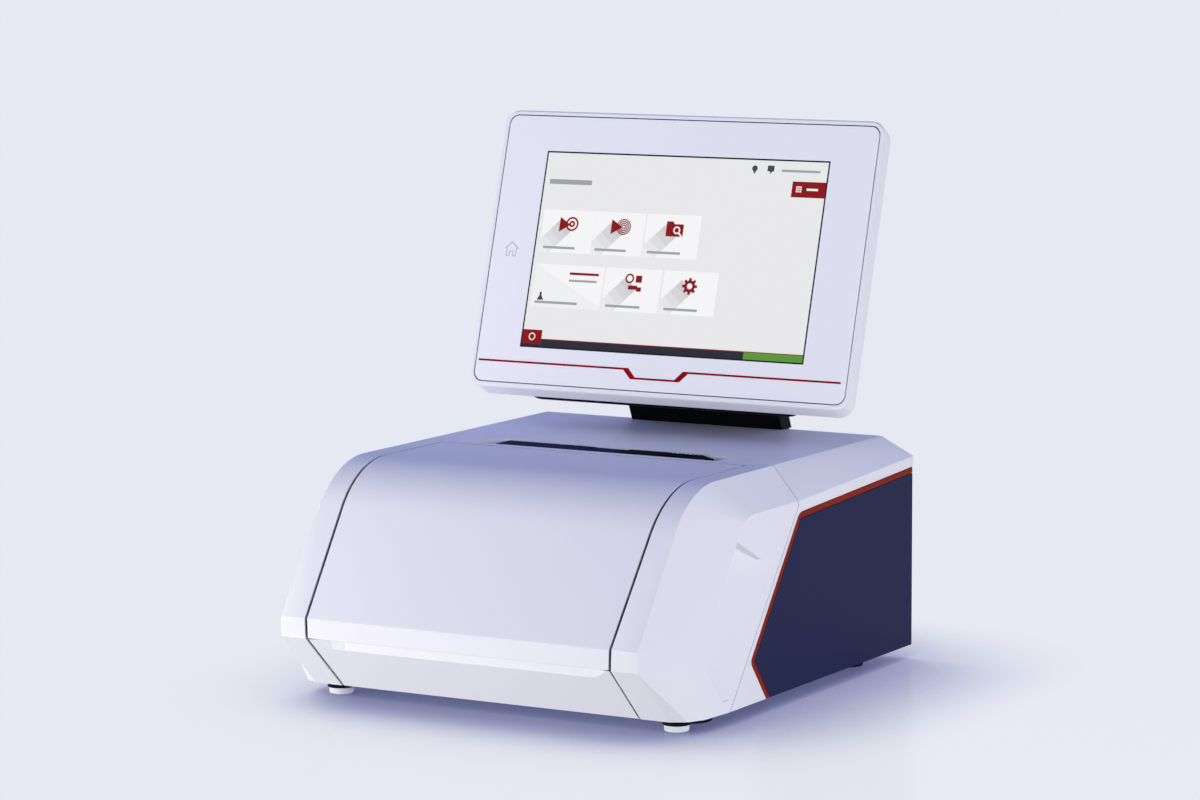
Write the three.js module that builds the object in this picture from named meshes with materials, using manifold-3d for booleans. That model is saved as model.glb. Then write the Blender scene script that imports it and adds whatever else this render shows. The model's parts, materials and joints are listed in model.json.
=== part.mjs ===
// A benchtop infrared spectrometer: a white moulded housing with a lift-up sample lid, a tilting touch
// display on a neck, and the optical bench inside. Millimetres, +Z up, +Y to the rear, X to the right.
// The origin is on the table, under the middle of the housing.
import * as THREE from "three";
import { mergeVertices } from "three/addons/utils/BufferGeometryUtils.js";
import Module from "manifold-3d";

const wasm = await Module();
wasm.setup();

// Overall housing
const bodyWidth = 300;
const bodyDepth = 348;
const bodyHeight = 143.5;
const half = bodyWidth / 2;
const front = -bodyDepth / 2;
const rear = bodyDepth / 2;
const wall = 3;
const fit = 0.3;
const overrun = 5;

// Housing outline: deck, side chamfers, rear chamfer
const chamferWidth = 18.5;
const deckHalfWidth = half - chamferWidth;
const chamferDropFront = 22;
const chamferDropRear = 14;
const rearChamferRun = 12;

// Front: the curved and sloped face that the lid and the cheeks share
const slopeAngle = THREE.MathUtils.degToRad(54.6);
const browRadius = 65;
const lipTop = 50.5;
const lipBottom = 37.3;
const undercutRun = 39.5;

// Cheeks: the flat side field inside the wide bevel
const fieldDrop = 22;
const fieldSetback = 51.7;
const fieldLipTop = 45.5;
const fieldLipBottom = 33;
const fieldFootRun = 32.3;
const fieldBrowRadius = 24;
const bulgeShares = [
  { width: 0.57, foot: 0.24, lipLow: 0.8, lipHigh: 0.97 },
  { width: 0.865, foot: 0.45, lipLow: 0.93, lipHigh: 0.99 },
];

// Seam between front frame and rear cover
const seamRun = 178.5;
const seamY = front + seamRun;
const seamKneeDrop = 25.5;
const seamKneeZ = bodyHeight - seamKneeDrop;
const seamFootRun = 92.9;
const seamSlope = seamKneeZ / seamFootRun;
const seamGap = 0.6;

// Lid
const lidMarginTop = 33.7;
const lidHalfWidthTop = half - lidMarginTop;
const lidMarginFoot = 38.5;
const lidHalfWidthFoot = half - lidMarginFoot;
const lidGap = 0.9;
const lidRearSetback = 9.1;
const bridgeDepth = 7.9;
const bridgeChamfer = 1.7;
const lidThickness = 3;
const lidFlangeDepth = 13;
const lidLipReturn = 12;
const hingeSetback = 17.5;
const hingeDrop = 7;
const hingePinRadius = 2;
const hingePinLength = 22;
const hingeInset = 16;
const knuckleLength = 9;
const knuckleWall = 2.4;
const hingeClearance = 0.1;
const hingeArmReach = 30;
const hingeArmThickness = 3;
const bracketThickness = 5;
const bracketFoot = 14;

const linerGap = 1.2;
const linerThickness = 2;
const sealWidth = 6;

// Grip scooped in each cheek
const gripDepthShare = 0.145;
const gripDrop = 52.5;
const gripTop = bodyHeight - gripDrop;
const gripLipRise = 11;
const gripLipRun = 22;
const gripKneeRun = 51.5;
const gripKneeY = seamY - gripKneeRun;
const gripFloor = 8;
const gripMargin = 10;

// Lower front panel
const panelSetback = 2.5;
const grooveHeight = 5.5;
const grooveRun = 7;
const grooveEnd = 18;

// Side panels
const sidePanelDrop = 29.7;
const sidePanelTopFront = bodyHeight - sidePanelDrop;
const sidePanelRise = 8.4;
const sidePanelGap = 1.5;
const sidePanelCornerRun = 65.5;
const sidePanelCornerShare = 0.2373;
const sidePanelCornerZ = sidePanelTopFront * sidePanelCornerShare;
const sidePanelFootRun = 44;
const sidePanelRearMargin = 1.4;
const sidePanelThickness = 3;
const sidePanelCorner = 9;
const accentWidth = 4;

// Recess behind the lid
const recessDepth = 8;
const recessRun = 21.5;
const recessRearY = seamY + recessRun;
const recessMarginFront = 41;
const recessFrontHalf = half - recessMarginFront;
const recessMarginRear = 62;
const recessRearHalf = half - recessMarginRear;
const recessFloorMargin = 78;
const recessFloorHalf = half - recessFloorMargin;
const inlayOverhang = 7.5;
const inlayThickness = 3;
const inlayRearGap = 4;
const guideLength = 58;
const guideStart = recessFloorHalf - guideLength;
const ribbedLength = 31;
const ribStart = recessFloorHalf - ribbedLength;
const coverStepRun = 84;
const coverStep = recessFloorHalf - coverStepRun;
const ribCount = 9;
const ribWidth = 1.8;
const ribDrop = 0.6;
const guideDrop = 2;
const coverDrop = 0.5;
const coverStepDrop = 1.3;

// Rear panel and what it holds
const rearFrame = 14;
const rearPanelDrop = 25.5;
const rearPanelTop = bodyHeight - rearPanelDrop;
const rearPanelThickness = 2;
const rearPanelSink = 2;
const rockerFaceProud = 0.5;
const ventCount = 11;
const ventWidth = 3.2;
const ventHeight = 34;
const ventPitch = 7.4;
const inletWidth = 27.5;
const inletHeight = 20;
const inletDepth = 24;
const inletFlange = 4;
const inletShare = 0.64;
const inletX = half * inletShare;
const portZ = 34;
const rockerWidth = 13;
const rockerHeight = 19;
const rockerDepth = 9;
const rockerBezel = 2.5;
const rockerGap = 30;
const rockerX = inletX - rockerGap;
const rockerTravel = THREE.MathUtils.degToRad(12);
const rockerPlay = 0.75;
const rockerTaperShare = 0.8;
const socketWidth = 15;
const socketHeight = 14;
const socketDepth = 16;
const socketPitch = 19;
const socketShare = 0.42;
const socketX = -half * socketShare;
const socketCount = 3;
const socketWall = 1.5;

// Feet
const footHeight = 9.5;
const footRadius = 8;
const footPadHeight = 4.5;
const footCollarRadius = 9;
const frontFootMargin = 24.5;
const frontFootX = half - frontFootMargin;
const frontFootRun = 60.5;
const frontFootY = front + frontFootRun;
const rearFootMargin = 28;
const rearFootX = half - rearFootMargin;
const rearFootRun = 44;
const rearFootY = rear - rearFootRun;
const rearFootRadius = 11;
const bumperRadius = 15;
const bumperHeight = 8;
const bumperMargin = 30.5;
const bumperX = half - bumperMargin;
const bumperRun = 87.5;
const bumperY = front + bumperRun;

// Sample compartment
const linerInset = 21;
const compartmentThickness = 2.5;
const chamberMargin = 80;
const chamberHalfWidth = half - chamberMargin;
const chamberRun = 46;
const chamberFrontY = front + chamberRun;
const chamberDepthShare = 0.253;
const chamberRearY = chamberFrontY + bodyDepth * chamberDepthShare;
const chamberFloor = 40;
const chamberWall = 2.5;
const rimInset = 11.5;
const beamDrop = 61.5;
const beamHeight = bodyHeight - beamDrop;
const beamRadius = 12;
const beamY = (chamberFrontY + chamberRearY) / 2;
const windowThickness = 4;
const windowRing = 4;
const holderWidth = 52;
const holderDepth = 40;
const holderHeight = 6;
const cellThickness = 12;
const cellWidth = 36;
const cellHeadroom = 18.8;

// Optical bench and parts on it
const benchThickness = 8;
const benchHeight = 24;
const benchMargin = 12;
const benchHalfWidth = half - benchMargin;
const benchRun = 56;
const benchFront = front + benchRun;
const supplyDepthShare = 0.092;
const supplyDepth = bodyDepth * supplyDepthShare;
const benchRear = rear - inletDepth - supplyDepth - 2 * wall;
const benchCorner = 10;
const legRadius = 8;
const bossRadius = 6;
const opticSpan = benchRear - chamberRearY;
const spanShares = {
  mirror: 0.21,
  detector: 0.04,
  cartridge: 0.316,
  splitter: 0.395,
  scan: 0.684,
  source: 0.737,
  laser: 0.776,
};
const mirrorSize = opticSpan * spanShares.mirror;
const mirrorThickness = 10;
const splitterBoreShare = 0.376;
const fixedMirrorMargin = 18;
const fixedMirrorX = half - fixedMirrorMargin;
const opticsXShare = 0.547;
const opticsX = chamberHalfWidth + windowRing + (fixedMirrorX - chamberHalfWidth - windowRing) * opticsXShare;
const splitterY = chamberRearY + opticSpan * spanShares.splitter;
const scanY = chamberRearY + opticSpan * spanShares.scan;
const scanTravel = 5;
const scanMirrorThickness = 6;
const shaftRadius = 5;
const shaftLength = 30;
const driveLength = 34;
const driveRadius = 17;
const detectorY = chamberRearY + opticSpan * spanShares.detector;
const detectorRadius = 16;
const detectorLength = 46;
const cartridgeRadius = 22;
const cartridgeHeight = 52;
const cartridgeGap = 10;
const cartridgeX = opticsX - detectorRadius - cartridgeRadius - cartridgeGap;
const cartridgeY = chamberRearY + opticSpan * spanShares.cartridge;
const sourceRadius = 18;
const sourceOffset = 40;
const sourceX = cartridgeX - sourceOffset;
const sourceY = chamberRearY + opticSpan * spanShares.source;
const laserLength = 66;
const laserRadius = 9;
const laserStart = sourceX + sourceRadius + 2 * wall;
const laserY = chamberRearY + opticSpan * spanShares.laser;

// Electronics
const boardThickness = 1.6;
const boardShare = 0.5;
const boardWidth = bodyWidth * boardShare;
const boardHeight = 86;
const boardRun = 36;
const boardY = rear - boardRun;
const boardMargin = 115;
const boardRight = half - boardMargin;
const chipSize = 9;
const supplyWidth = 74;
const supplyHeight = 92;

// Display
const displayWidth = 294.6;
const displayHeight = 195.3;
const faceRaise = 1;
const displayTilt = THREE.MathUtils.degToRad(16.6);
const rimSide = 4;
const rimEnd = 3.5;
const rimRound = 1;
const displayCorner = 11;
const shellDepth = 12.5;
const shellTaper = 1.6;
const chinDrop = 3.4;
const shellLining = 11;
const shellBackThickness = 2;
const glassWidth = displayWidth - 2 * rimSide;
const glassHeight = displayHeight - 2 * rimEnd;
const glassThickness = 1.6;
const glassCorner = 7;
const screenWidth = 217;
const screenHeight = 136;
const screenRaise = 1.2;
const screenThickness = 4;
const backWidth = 214;
const backTop = 62;
const backDepth = 18.8;
const backTaper = 12;

// Neck and tilt hinge
const neckWidth = 118;
const neckRun = 18;
const neckFrontY = rear - neckRun;
const neckThickness = 14;
const neckLean = THREE.MathUtils.degToRad(23.8);
const neckSink = 25;
const tiltAxisRise = 59.5;
const tiltAxisZ = bodyHeight + tiltAxisRise;
const tiltBarrelRadius = 8.5;
const tiltPinRadius = 3.5;
const tiltClearance = 0.1;
const tiltEarWidth = 11;
const tiltEarInset = 1;
const neckPostWidth = 70;
const neckPostDepth = 9;
const tiltAxisY = neckFrontY + neckThickness / 2 - tiltAxisRise * Math.tan(neckLean);
const displayReach = 28.457;
const displayY = tiltAxisY - displayReach;
const displayRise = 60.5;
const displayZ = tiltAxisZ + displayRise;

const cornerSteps = 6;
const browSteps = 12;
const roundSteps = 28;

function paint(color, roughness, metalness = 0) {
  return new THREE.MeshStandardMaterial({ color, roughness, metalness });
}
const finish = {
  housing: paint(0xe4e4ec, 0.55),
  panel: paint(0x2d3050, 0.5),
  accent: paint(0x8c2a18, 0.5),
  black: paint(0x15151c, 0.5),
  rubber: paint(0x1b1b1f, 0.9),
  pad: paint(0xd9dadf, 0.7),
  liner: paint(0xb8bac4, 0.6),
  chamber: paint(0x3a3c44, 0.5),
  metal: paint(0xa9abb0, 0.35, 0.9),
  steel: paint(0x8d8f94, 0.3, 1),
  mirror: paint(0xd8b05a, 0.15, 1),
  crystal: paint(0xf2f0e4, 0.1),
  board: paint(0x1f5a3a, 0.6),
  glass: paint(0xe2e2ea, 0.2),
  screen: paint(0xebebeb, 0.3),
};

// Solids: three.js makes each form, manifold-3d joins and cuts
function solid(geometry) {
  const bare = geometry.index ? geometry.toNonIndexed() : geometry.clone();
  bare.deleteAttribute("normal");
  bare.deleteAttribute("uv");
  const merged = mergeVertices(bare, 1e-4);
  const corners = merged.index.array;
  const kept = [];
  for (let i = 0; i < corners.length; i += 3) {
    const [a, b, c] = corners.subarray(i, i + 3);
    if (a !== b && b !== c && c !== a) kept.push(a, b, c);
  }
  return new wasm.Manifold(
    new wasm.Mesh({
      numProp: 3,
      vertProperties: new Float32Array(merged.attributes.position.array),
      triVerts: new Uint32Array(kept),
    }),
  );
}

function mesh(name, body, material) {
  const { numProp, numVert, vertProperties, triVerts } = body.getMesh();
  const place = new Float32Array(numVert * 3);
  for (let i = 0; i < numVert; i++) place.set(vertProperties.subarray(i * numProp, i * numProp + 3), i * 3);
  const geometry = new THREE.BufferGeometry();
  geometry.setAttribute("position", new THREE.BufferAttribute(place, 3));
  geometry.setIndex(new THREE.BufferAttribute(new Uint32Array(triVerts), 1));
  geometry.computeVertexNormals();
  const piece = new THREE.Mesh(geometry, material);
  piece.name = name;
  return piece;
}

const joined = (...bodies) => bodies.reduce((a, b) => a.add(b));

// The same solid on the other side of the middle plane.
function mirrored(body) {
  const { numProp, vertProperties, triVerts } = body.getMesh();
  return new wasm.Manifold(
    new wasm.Mesh({
      numProp,
      vertProperties: vertProperties.map((value, i) => (i % numProp === 0 ? -value : value)),
      triVerts: triVerts.map((_, i) => triVerts[i % 3 === 0 ? i : i % 3 === 1 ? i + 1 : i - 1]),
    }),
  );
}

// A prism along an axis. Its outline's points are (y, z) along x, (x, z) along y, and (x, y) along z.
function prism(axis, points, low, high, holes = []) {
  const shape = new THREE.Shape(points.map(([u, v]) => new THREE.Vector2(u, v)));
  shape.holes = holes.map((hole) => new THREE.Path(hole.map(([u, v]) => new THREE.Vector2(u, v))));
  const geometry = new THREE.ExtrudeGeometry(shape, { depth: high - low, bevelEnabled: false });
  const turn = new THREE.Matrix4();
  const [ex, ey, ez] = [new THREE.Vector3(1, 0, 0), new THREE.Vector3(0, 1, 0), new THREE.Vector3(0, 0, 1)];
  if (axis === "x") turn.makeBasis(ey, ez, ex).setPosition(low, 0, 0);
  else if (axis === "y") turn.makeBasis(ex, ez, ey.negate()).setPosition(0, high, 0);
  else turn.makeBasis(ex, ey, ez).setPosition(0, 0, low);
  return solid(geometry.applyMatrix4(turn));
}

const rectangle = (u0, u1, v0, v1) => [[u0, v0], [u1, v0], [u1, v1], [u0, v1]];
const block = (x0, x1, y0, y1, z0, z1) => prism("z", rectangle(x0, x1, y0, y1), z0, z1);

// A rectangle about (u, v) with round corners.
function roundedRectangle(width, height, radius, u = 0, v = 0) {
  const points = [];
  const corners = [[1, 1], [-1, 1], [-1, -1], [1, -1]];
  corners.forEach(([a, b], quarter) => {
    for (let k = 0; k <= cornerSteps; k++) {
      const turn = ((quarter + k / cornerSteps) * Math.PI) / 2;
      points.push([
        u + a * (width / 2 - radius) + radius * Math.cos(turn),
        v + b * (height / 2 - radius) + radius * Math.sin(turn),
      ]);
    }
  });
  return points;
}

// A round bar along an axis: centre is (y, z) along x, (x, z) along y, and (x, y) along z.
function bar(axis, [u, v], radius, low, high, steps = roundSteps) {
  const circle = Array.from({ length: steps }, (_, k) => {
    const turn = (2 * Math.PI * k) / steps;
    return [u + radius * Math.cos(turn), v + radius * Math.sin(turn)];
  });
  return prism(axis, circle, low, high);
}

// A solid between closed loops with as many points each. facing puts a loop's points on its cap's plane.
function loft(loops, facing = ([, y, z]) => [y, z]) {
  const count = loops[0].length;
  const points = loops.flat();
  const faces = [];
  for (let s = 0; s + 1 < loops.length; s++)
    for (let k = 0; k < count; k++) {
      const [a, b] = [s * count + k, s * count + ((k + 1) % count)];
      faces.push([a, b + count, b], [a, a + count, b + count]);
    }
  // triangulateShape turns every triangle the same way, whichever way its outline turns
  const cap = (loop, first, turned) => {
    const outline = loop.map((point) => new THREE.Vector2(...facing(point)));
    const clockwise = THREE.ShapeUtils.isClockWise(outline);
    for (const [a, b, c] of THREE.ShapeUtils.triangulateShape(outline, [])) {
      const face = clockwise === turned ? [a, b, c] : [a, c, b];
      faces.push(face.map((corner) => first + corner));
    }
  };
  cap(loops[0], 0, false);
  cap(loops.at(-1), (loops.length - 1) * count, true);
  const geometry = new THREE.BufferGeometry();
  geometry.setAttribute("position", new THREE.Float32BufferAttribute(points.flat(), 3));
  geometry.setIndex(faces.flat());
  const body = solid(geometry);
  if (body.volume() > 0) return body;
  geometry.setIndex(faces.map(([a, b, c]) => [a, c, b]).flat());
  return solid(geometry);
}

// Outlines of the front: the outer face at the deck's edge, and the flat field of a cheek
const brow = {
  top: bodyHeight,
  frontY: front,
  lipHigh: lipTop,
  lipLow: lipBottom,
  footRun: undercutRun,
  radius: browRadius,
};
const field = {
  top: bodyHeight - fieldDrop,
  frontY: front + fieldSetback,
  lipHigh: fieldLipTop,
  lipLow: fieldLipBottom,
  footRun: fieldFootRun,
  radius: fieldBrowRadius,
};
const benchTop = benchHeight + benchThickness;
const lowest = -overrun;
const highest = bodyHeight + overrun;
const seamAt = (z, shift = 0) => seamY + shift - Math.max(0, seamKneeZ - z) / seamSlope;

// The (y, z) points of a front outline, moved inwards by inset: over the brow, down the slope and the lip,
// and back along the undercut to the height footZ.
function frontOutline(form, inset = 0, footZ = 0) {
  const [sin, cos] = [Math.sin(slopeAngle), Math.cos(slopeAngle)];
  const meetY = form.frontY + (form.top - form.lipHigh) / Math.tan(slopeAngle);
  const centreY = meetY + form.radius * Math.tan(slopeAngle / 2);
  const centreZ = form.top - form.radius;
  const points = [];
  for (let k = 0; k <= browSteps; k++) {
    const turn = Math.PI / 2 + (slopeAngle * k) / browSteps;
    const reach = form.radius - inset;
    points.push([centreY + reach * Math.cos(turn), centreZ + reach * Math.sin(turn)]);
  }
  const lipY = form.frontY + inset;
  const highZ = form.lipHigh - inset * cos + ((inset - inset * sin) / cos) * sin;
  const length = Math.hypot(form.footRun, form.lipLow);
  const [inY, inZ] = [(form.lipLow / length) * inset, (form.footRun / length) * inset];
  const fall = form.lipLow / form.footRun;
  const lowZ = form.lipLow + inZ - (inset - inY) * fall;
  const shrunk = Math.max(0, (lowZ - highZ) / (fall + sin / cos));
  points.push([lipY + shrunk, highZ + (shrunk * sin) / cos]);
  points.push([lipY + shrunk, Math.min(lowZ - shrunk * fall, highZ + (shrunk * sin) / cos)]);
  points.push([form.frontY + inY + (form.lipLow + inZ - footZ) / fall, footZ]);
  return points;
}

// The closed loop of the front frame at x: a front outline, closed along the seam.
function frontLoop(form, x, inset, shift, footZ) {
  const outline = frontOutline(form, inset, footZ);
  const footY = outline.at(-1)[0];
  return [
    [seamY + shift, form.top - inset],
    ...outline,
    [Math.max(seamAt(footZ, shift), footY + fit), footZ],
    [seamY + shift, Math.min(seamKneeZ, form.top - inset)],
  ].map(([y, z]) => [x, y, z]);
}

// Everything inside the front's outer face, moved inwards by inset. Between the deck's edge and the field the
// face is a wide bevel, fuller at the foot by bulgeShares.
function frontBulk(inset, shift, footZ) {
  const [outerX, edgeX] = [half - inset, deckHalfWidth - inset];
  const outer = frontLoop(field, outerX, inset, shift, footZ);
  const edge = frontLoop(brow, edgeX, inset, shift, footZ);
  const footIndex = edge.length - 3;
  const mixed = bulgeShares.map(({ width, foot, lipLow, lipHigh }) =>
    edge.map(([, y, z], k) => {
      const share = width * ([foot, lipLow, lipHigh][footIndex - k] ?? 1);
      return [edgeX + (outerX - edgeX) * width, y + (outer[k][1] - y) * share, z + (outer[k][2] - z) * share];
    }),
  );
  const right = [edge, ...mixed, outer];
  const left = right.map((loop) => loop.map(([x, y, z]) => [-x, y, z])).reverse();
  return loft([...left, ...right]);
}

// A prism across the whole width under the brow outline, moved inwards by inset. The upright one drops
// straight down from the lip.
function browBulk(inset, upright = false) {
  const outline = frontOutline(brow, inset, lowest);
  const facing = upright ? [...outline.slice(0, -2), [front + inset, lowest]] : outline;
  return prism("x", [[rear, bodyHeight - inset], ...facing, [rear, lowest]], -half, half);
}
function browSkin(outer, inner, upright = false) {
  return browBulk(outer, upright).subtract(browBulk(inner, upright));
}

// The lid's tapering width, seen from the front, moved outwards by margin.
const lidHalfAt = (z) => lidHalfWidthFoot + ((lidHalfWidthTop - lidHalfWidthFoot) * z) / bodyHeight;
function lidWedge(margin, rearY) {
  const [low, high] = [lidHalfAt(lowest) + margin, lidHalfAt(highest) + margin];
  const outline = [[-low, lowest], [low, lowest], [high, highest], [-high, highest]];
  return prism("y", outline, front - overrun, rearY);
}

// Front frame: two cheeks and the bridge behind the lid, with a hand grip scooped in each cheek
const bridgeY = seamY - bridgeDepth;
const plateFront = frontOutline(brow, panelSetback, 0).at(-1)[0] + 2 * wall;
const gripReach = bodyDepth / 4;
const gripDepth = gripReach * gripDepthShare;
function gripTool(margin) {
  const lipY = (y) => gripTop + (Math.max(0, gripKneeY - y) * gripLipRise) / gripLipRun;
  const below = prism(
    "x",
    [
      [front, lipY(front) + margin],
      [gripKneeY, gripTop + margin],
      [seamY, gripTop + margin],
      [seamY, gripFloor - margin],
      [front, gripFloor - margin],
    ],
    half - bodyWidth / 4,
    half + overrun,
  );
  const deep = half - gripDepth - margin;
  const draft = gripMargin / gripDepth;
  const at = (x) => frontLoop(field, x, Math.max((half - x) * draft - margin, 0), 0, 0);
  const scoop = loft([at(deep), at(half), at(half).map(([, y, z]) => [half + overrun, y, z])]);
  const level = (z) => {
    const y = seamAt(z, -gripFloor / 2 + margin);
    return [
      [half - margin, y, z],
      [half + overrun, y, z],
      [half + overrun, y - 2 * gripReach, z],
      [half - margin - 2 * gripReach * gripDepthShare, y - 2 * gripReach, z],
    ];
  };
  const wedge = loft([level(lowest), level(seamKneeZ)], ([x, y]) => [x, y]);
  return below.intersect(scoop).intersect(wedge);
}

function frontFrame() {
  const shift = -seamGap / 2;
  const shell = frontBulk(0, shift, 0)
    .subtract(frontBulk(wall, overrun, lowest).subtract(joined(gripTool(wall), mirrored(gripTool(wall)))))
    .subtract(lidWedge(0, bridgeY));
  const side = lidWedge(wall, bridgeY).subtract(lidWedge(0, bridgeY));
  const overPlate = block(-half, half, plateFront - fit, rear, lowest, benchHeight);
  const returns = browSkin(0, linerInset + overrun)
    .intersect(side)
    .intersect(frontBulk(0, shift, 0))
    .subtract(overPlate);
  const under = bodyHeight - wall;
  const relief = prism(
    "x",
    [
      [bridgeY - overrun, under - overrun],
      [bridgeY + bridgeChamfer, under - overrun],
      [bridgeY + bridgeChamfer, under],
      [bridgeY, bodyHeight],
      [bridgeY - overrun, bodyHeight],
    ],
    -lidHalfWidthTop,
    lidHalfWidthTop,
  );
  return joined(shell, returns).subtract(relief).subtract(joined(gripTool(0), mirrored(gripTool(0))));
}

// Rear cover: deck, chamfers and side walls, with pockets for the side panels
function rearLoop(x, onDeck, inset, sink, shift, footZ) {
  const low = bodyHeight - chamferDropRear - inset;
  const topFront = bodyHeight - (onDeck ? 0 : chamferDropFront) - inset;
  const back = rear - sink;
  return [
    [seamY + shift, topFront],
    onDeck ? [back - rearChamferRun, bodyHeight - inset] : [back, low],
    [back, low],
    [back, footZ],
    [seamAt(footZ, shift), footZ],
    [seamY + shift, Math.min(seamKneeZ, topFront)],
  ].map(([y, z]) => [x, y, z]);
}
function rearBulk(inset, sideInset, sink, shift, footZ) {
  const outer = rearLoop(half - sideInset, false, inset, sink, shift, footZ);
  const edge = rearLoop(deckHalfWidth - inset, true, inset, sink, shift, footZ);
  const other = (loop) => loop.map(([x, y, z]) => [-x, y, z]);
  return loft([other(outer), other(edge), edge, outer]);
}

// A polygon with its corners rounded, each by its own radius.
function filleted(points, radii) {
  return points.flatMap(([u, v], k) => {
    const radius = radii[k];
    if (!radius) return [[u, v]];
    const corner = new THREE.Vector2(u, v);
    const [before, after] = [points.at(k - 1), points[(k + 1) % points.length]].map(([a, b]) =>
      new THREE.Vector2(a, b).sub(corner).normalize(),
    );
    const halfTurn = before.angleTo(after) / 2;
    const middle = before.clone().add(after).normalize();
    const centre = middle.multiplyScalar(radius / Math.sin(halfTurn)).add(corner);
    const start = before.clone().multiplyScalar(radius / Math.tan(halfTurn)).add(corner).sub(centre);
    const sweep = Math.PI - 2 * halfTurn;
    const way = Math.sign(before.cross(after)) || 1;
    return Array.from({ length: cornerSteps + 1 }, (_, step) => {
      const spot = start.clone().rotateAround(new THREE.Vector2(), (-way * sweep * step) / cornerSteps);
      return spot.add(centre).toArray();
    });
  });
}

// A polygon whose edge k, from point k to the next, is moved inwards by insets[k]. The points turn left.
function insetPolygon(points, insets) {
  const lines = points.map(([u, v], k) => {
    const [u2, v2] = points[(k + 1) % points.length];
    const way = new THREE.Vector2(u2 - u, v2 - v).normalize();
    return { at: new THREE.Vector2(u - way.y * insets[k], v + way.x * insets[k]), way };
  });
  return lines.map(({ at, way }, k) => {
    const last = lines.at(k - 1);
    const run = at.clone().sub(last.at).cross(way) / last.way.cross(way);
    return last.way.clone().multiplyScalar(run).add(last.at).toArray();
  });
}

const panelRear = rear - sidePanelRearMargin;
const panelCorners = [
  [seamY - sidePanelFootRun, 0],
  [panelRear, 0],
  [panelRear, sidePanelTopFront + sidePanelRise],
  [seamY + sidePanelGap, sidePanelTopFront],
  [seamY - sidePanelCornerRun, sidePanelCornerZ],
];
const panelRadii = [0, 0, 0, sidePanelCorner, sidePanelCorner / 2];
function panelOutline(inset, foot = 0) {
  const moved = insetPolygon(panelCorners, [-foot, -foot, inset, inset, inset]);
  return filleted(moved, panelRadii.map((radius) => Math.max(radius - inset, 0)));
}

const pocket = sidePanelThickness + fit;
const rearWindow = half - rearFrame;
const recessFloor = bodyHeight - recessDepth;
const neckNotch = 2 * fit;

function neckOutline(margin) {
  const middle = neckFrontY + neckThickness / 2;
  return roundedRectangle(neckWidth + 2 * margin, neckThickness + 2 * margin, neckThickness / 3, 0, middle);
}

// The hollow in the deck behind the lid: a flat floor with a ramp up to the deck at each end
function recessTool() {
  const high = bodyHeight + fit;
  const loop = (y, deckEdge) => {
    const edge = recessFloorHalf + ((deckEdge - recessFloorHalf) * (high - recessFloor)) / recessDepth;
    return [
      [-edge, y, high],
      [-recessFloorHalf, y, recessFloor],
      [recessFloorHalf, y, recessFloor],
      [edge, y, high],
    ];
  };
  const loops = [loop(seamY - overrun, recessFrontHalf), loop(recessRearY, recessRearHalf)];
  return loft(loops, ([x, , z]) => [x, z]);
}

function rearCover() {
  const shift = seamGap / 2;
  const pockets = prism("x", panelOutline(-fit, overrun), half - pocket, half + overrun);
  const tub = block(
    -recessFrontHalf - wall,
    recessFrontHalf + wall,
    seamY,
    recessRearY + wall,
    recessFloor - wall,
    bodyHeight,
  );
  const cavity = rearBulk(wall, pocket + wall, wall, -overrun, lowest).subtract(tub);
  const window = block(-rearWindow, rearWindow, rear - 2 * rearFrame, rear + overrun, lowest, rearPanelTop);
  const notch = prism("z", neckOutline(neckNotch), bodyHeight - neckSink, highest);
  return rearBulk(0, 0, 0, shift, 0)
    .subtract(cavity)
    .subtract(joined(pockets, mirrored(pockets)))
    .subtract(recessTool())
    .subtract(window)
    .subtract(notch);
}

// Side panel and the coloured strip along its top and front edges
const sidePanel = () => prism("x", panelOutline(accentWidth + fit), half - sidePanelThickness, half);
function accentStrip() {
  const whole = prism("x", panelOutline(0), half - sidePanelThickness, half);
  return whole.subtract(prism("x", panelOutline(accentWidth, overrun), half - 2 * pocket, half + overrun));
}

// Lower front panel, with a finger groove under the lid's lip
function lowerPanel() {
  const outline = frontOutline(brow, panelSetback, 0);
  const [lip, foot] = [outline.at(-2), outline.at(-1)];
  const fall = (foot[0] - lip[0]) / (lip[1] - foot[1]);
  const top = lipBottom - fit;
  const faceY = (z) => foot[0] - fall * z;
  const shelfY = front + linerInset - fit;
  const inner = wall * Math.hypot(1, fall);
  const profile = [
    [faceY(0), 0],
    [faceY(top), top],
    [shelfY, top],
    [shelfY, top - wall],
    [faceY(top - wall) + inner + wall, top - wall],
    [faceY(0) + inner, 0],
  ];
  const grooveLow = top - grooveHeight;
  const loop = (x, lift) =>
    [
      [faceY(grooveLow) - lift, grooveLow + lift],
      [faceY(grooveLow) + grooveRun - lift, top + lift],
      [faceY(grooveLow) + grooveRun - lift, top + overrun + lift],
      [front - overrun - lift, top + overrun + lift],
      [front - overrun - lift, grooveLow + lift],
    ].map(([y, z]) => [x, y, z]);
  const grooveHalf = lidHalfWidthFoot - grooveEnd / 2;
  const groove = loft([
    loop(-grooveHalf, 2 * grooveHeight),
    loop(-grooveHalf + grooveEnd, 0),
    loop(grooveHalf - grooveEnd, 0),
    loop(grooveHalf, 2 * grooveHeight),
  ]);
  return prism("x", profile, -half, half).intersect(lidWedge(-lidGap, rear)).subtract(groove);
}

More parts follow.
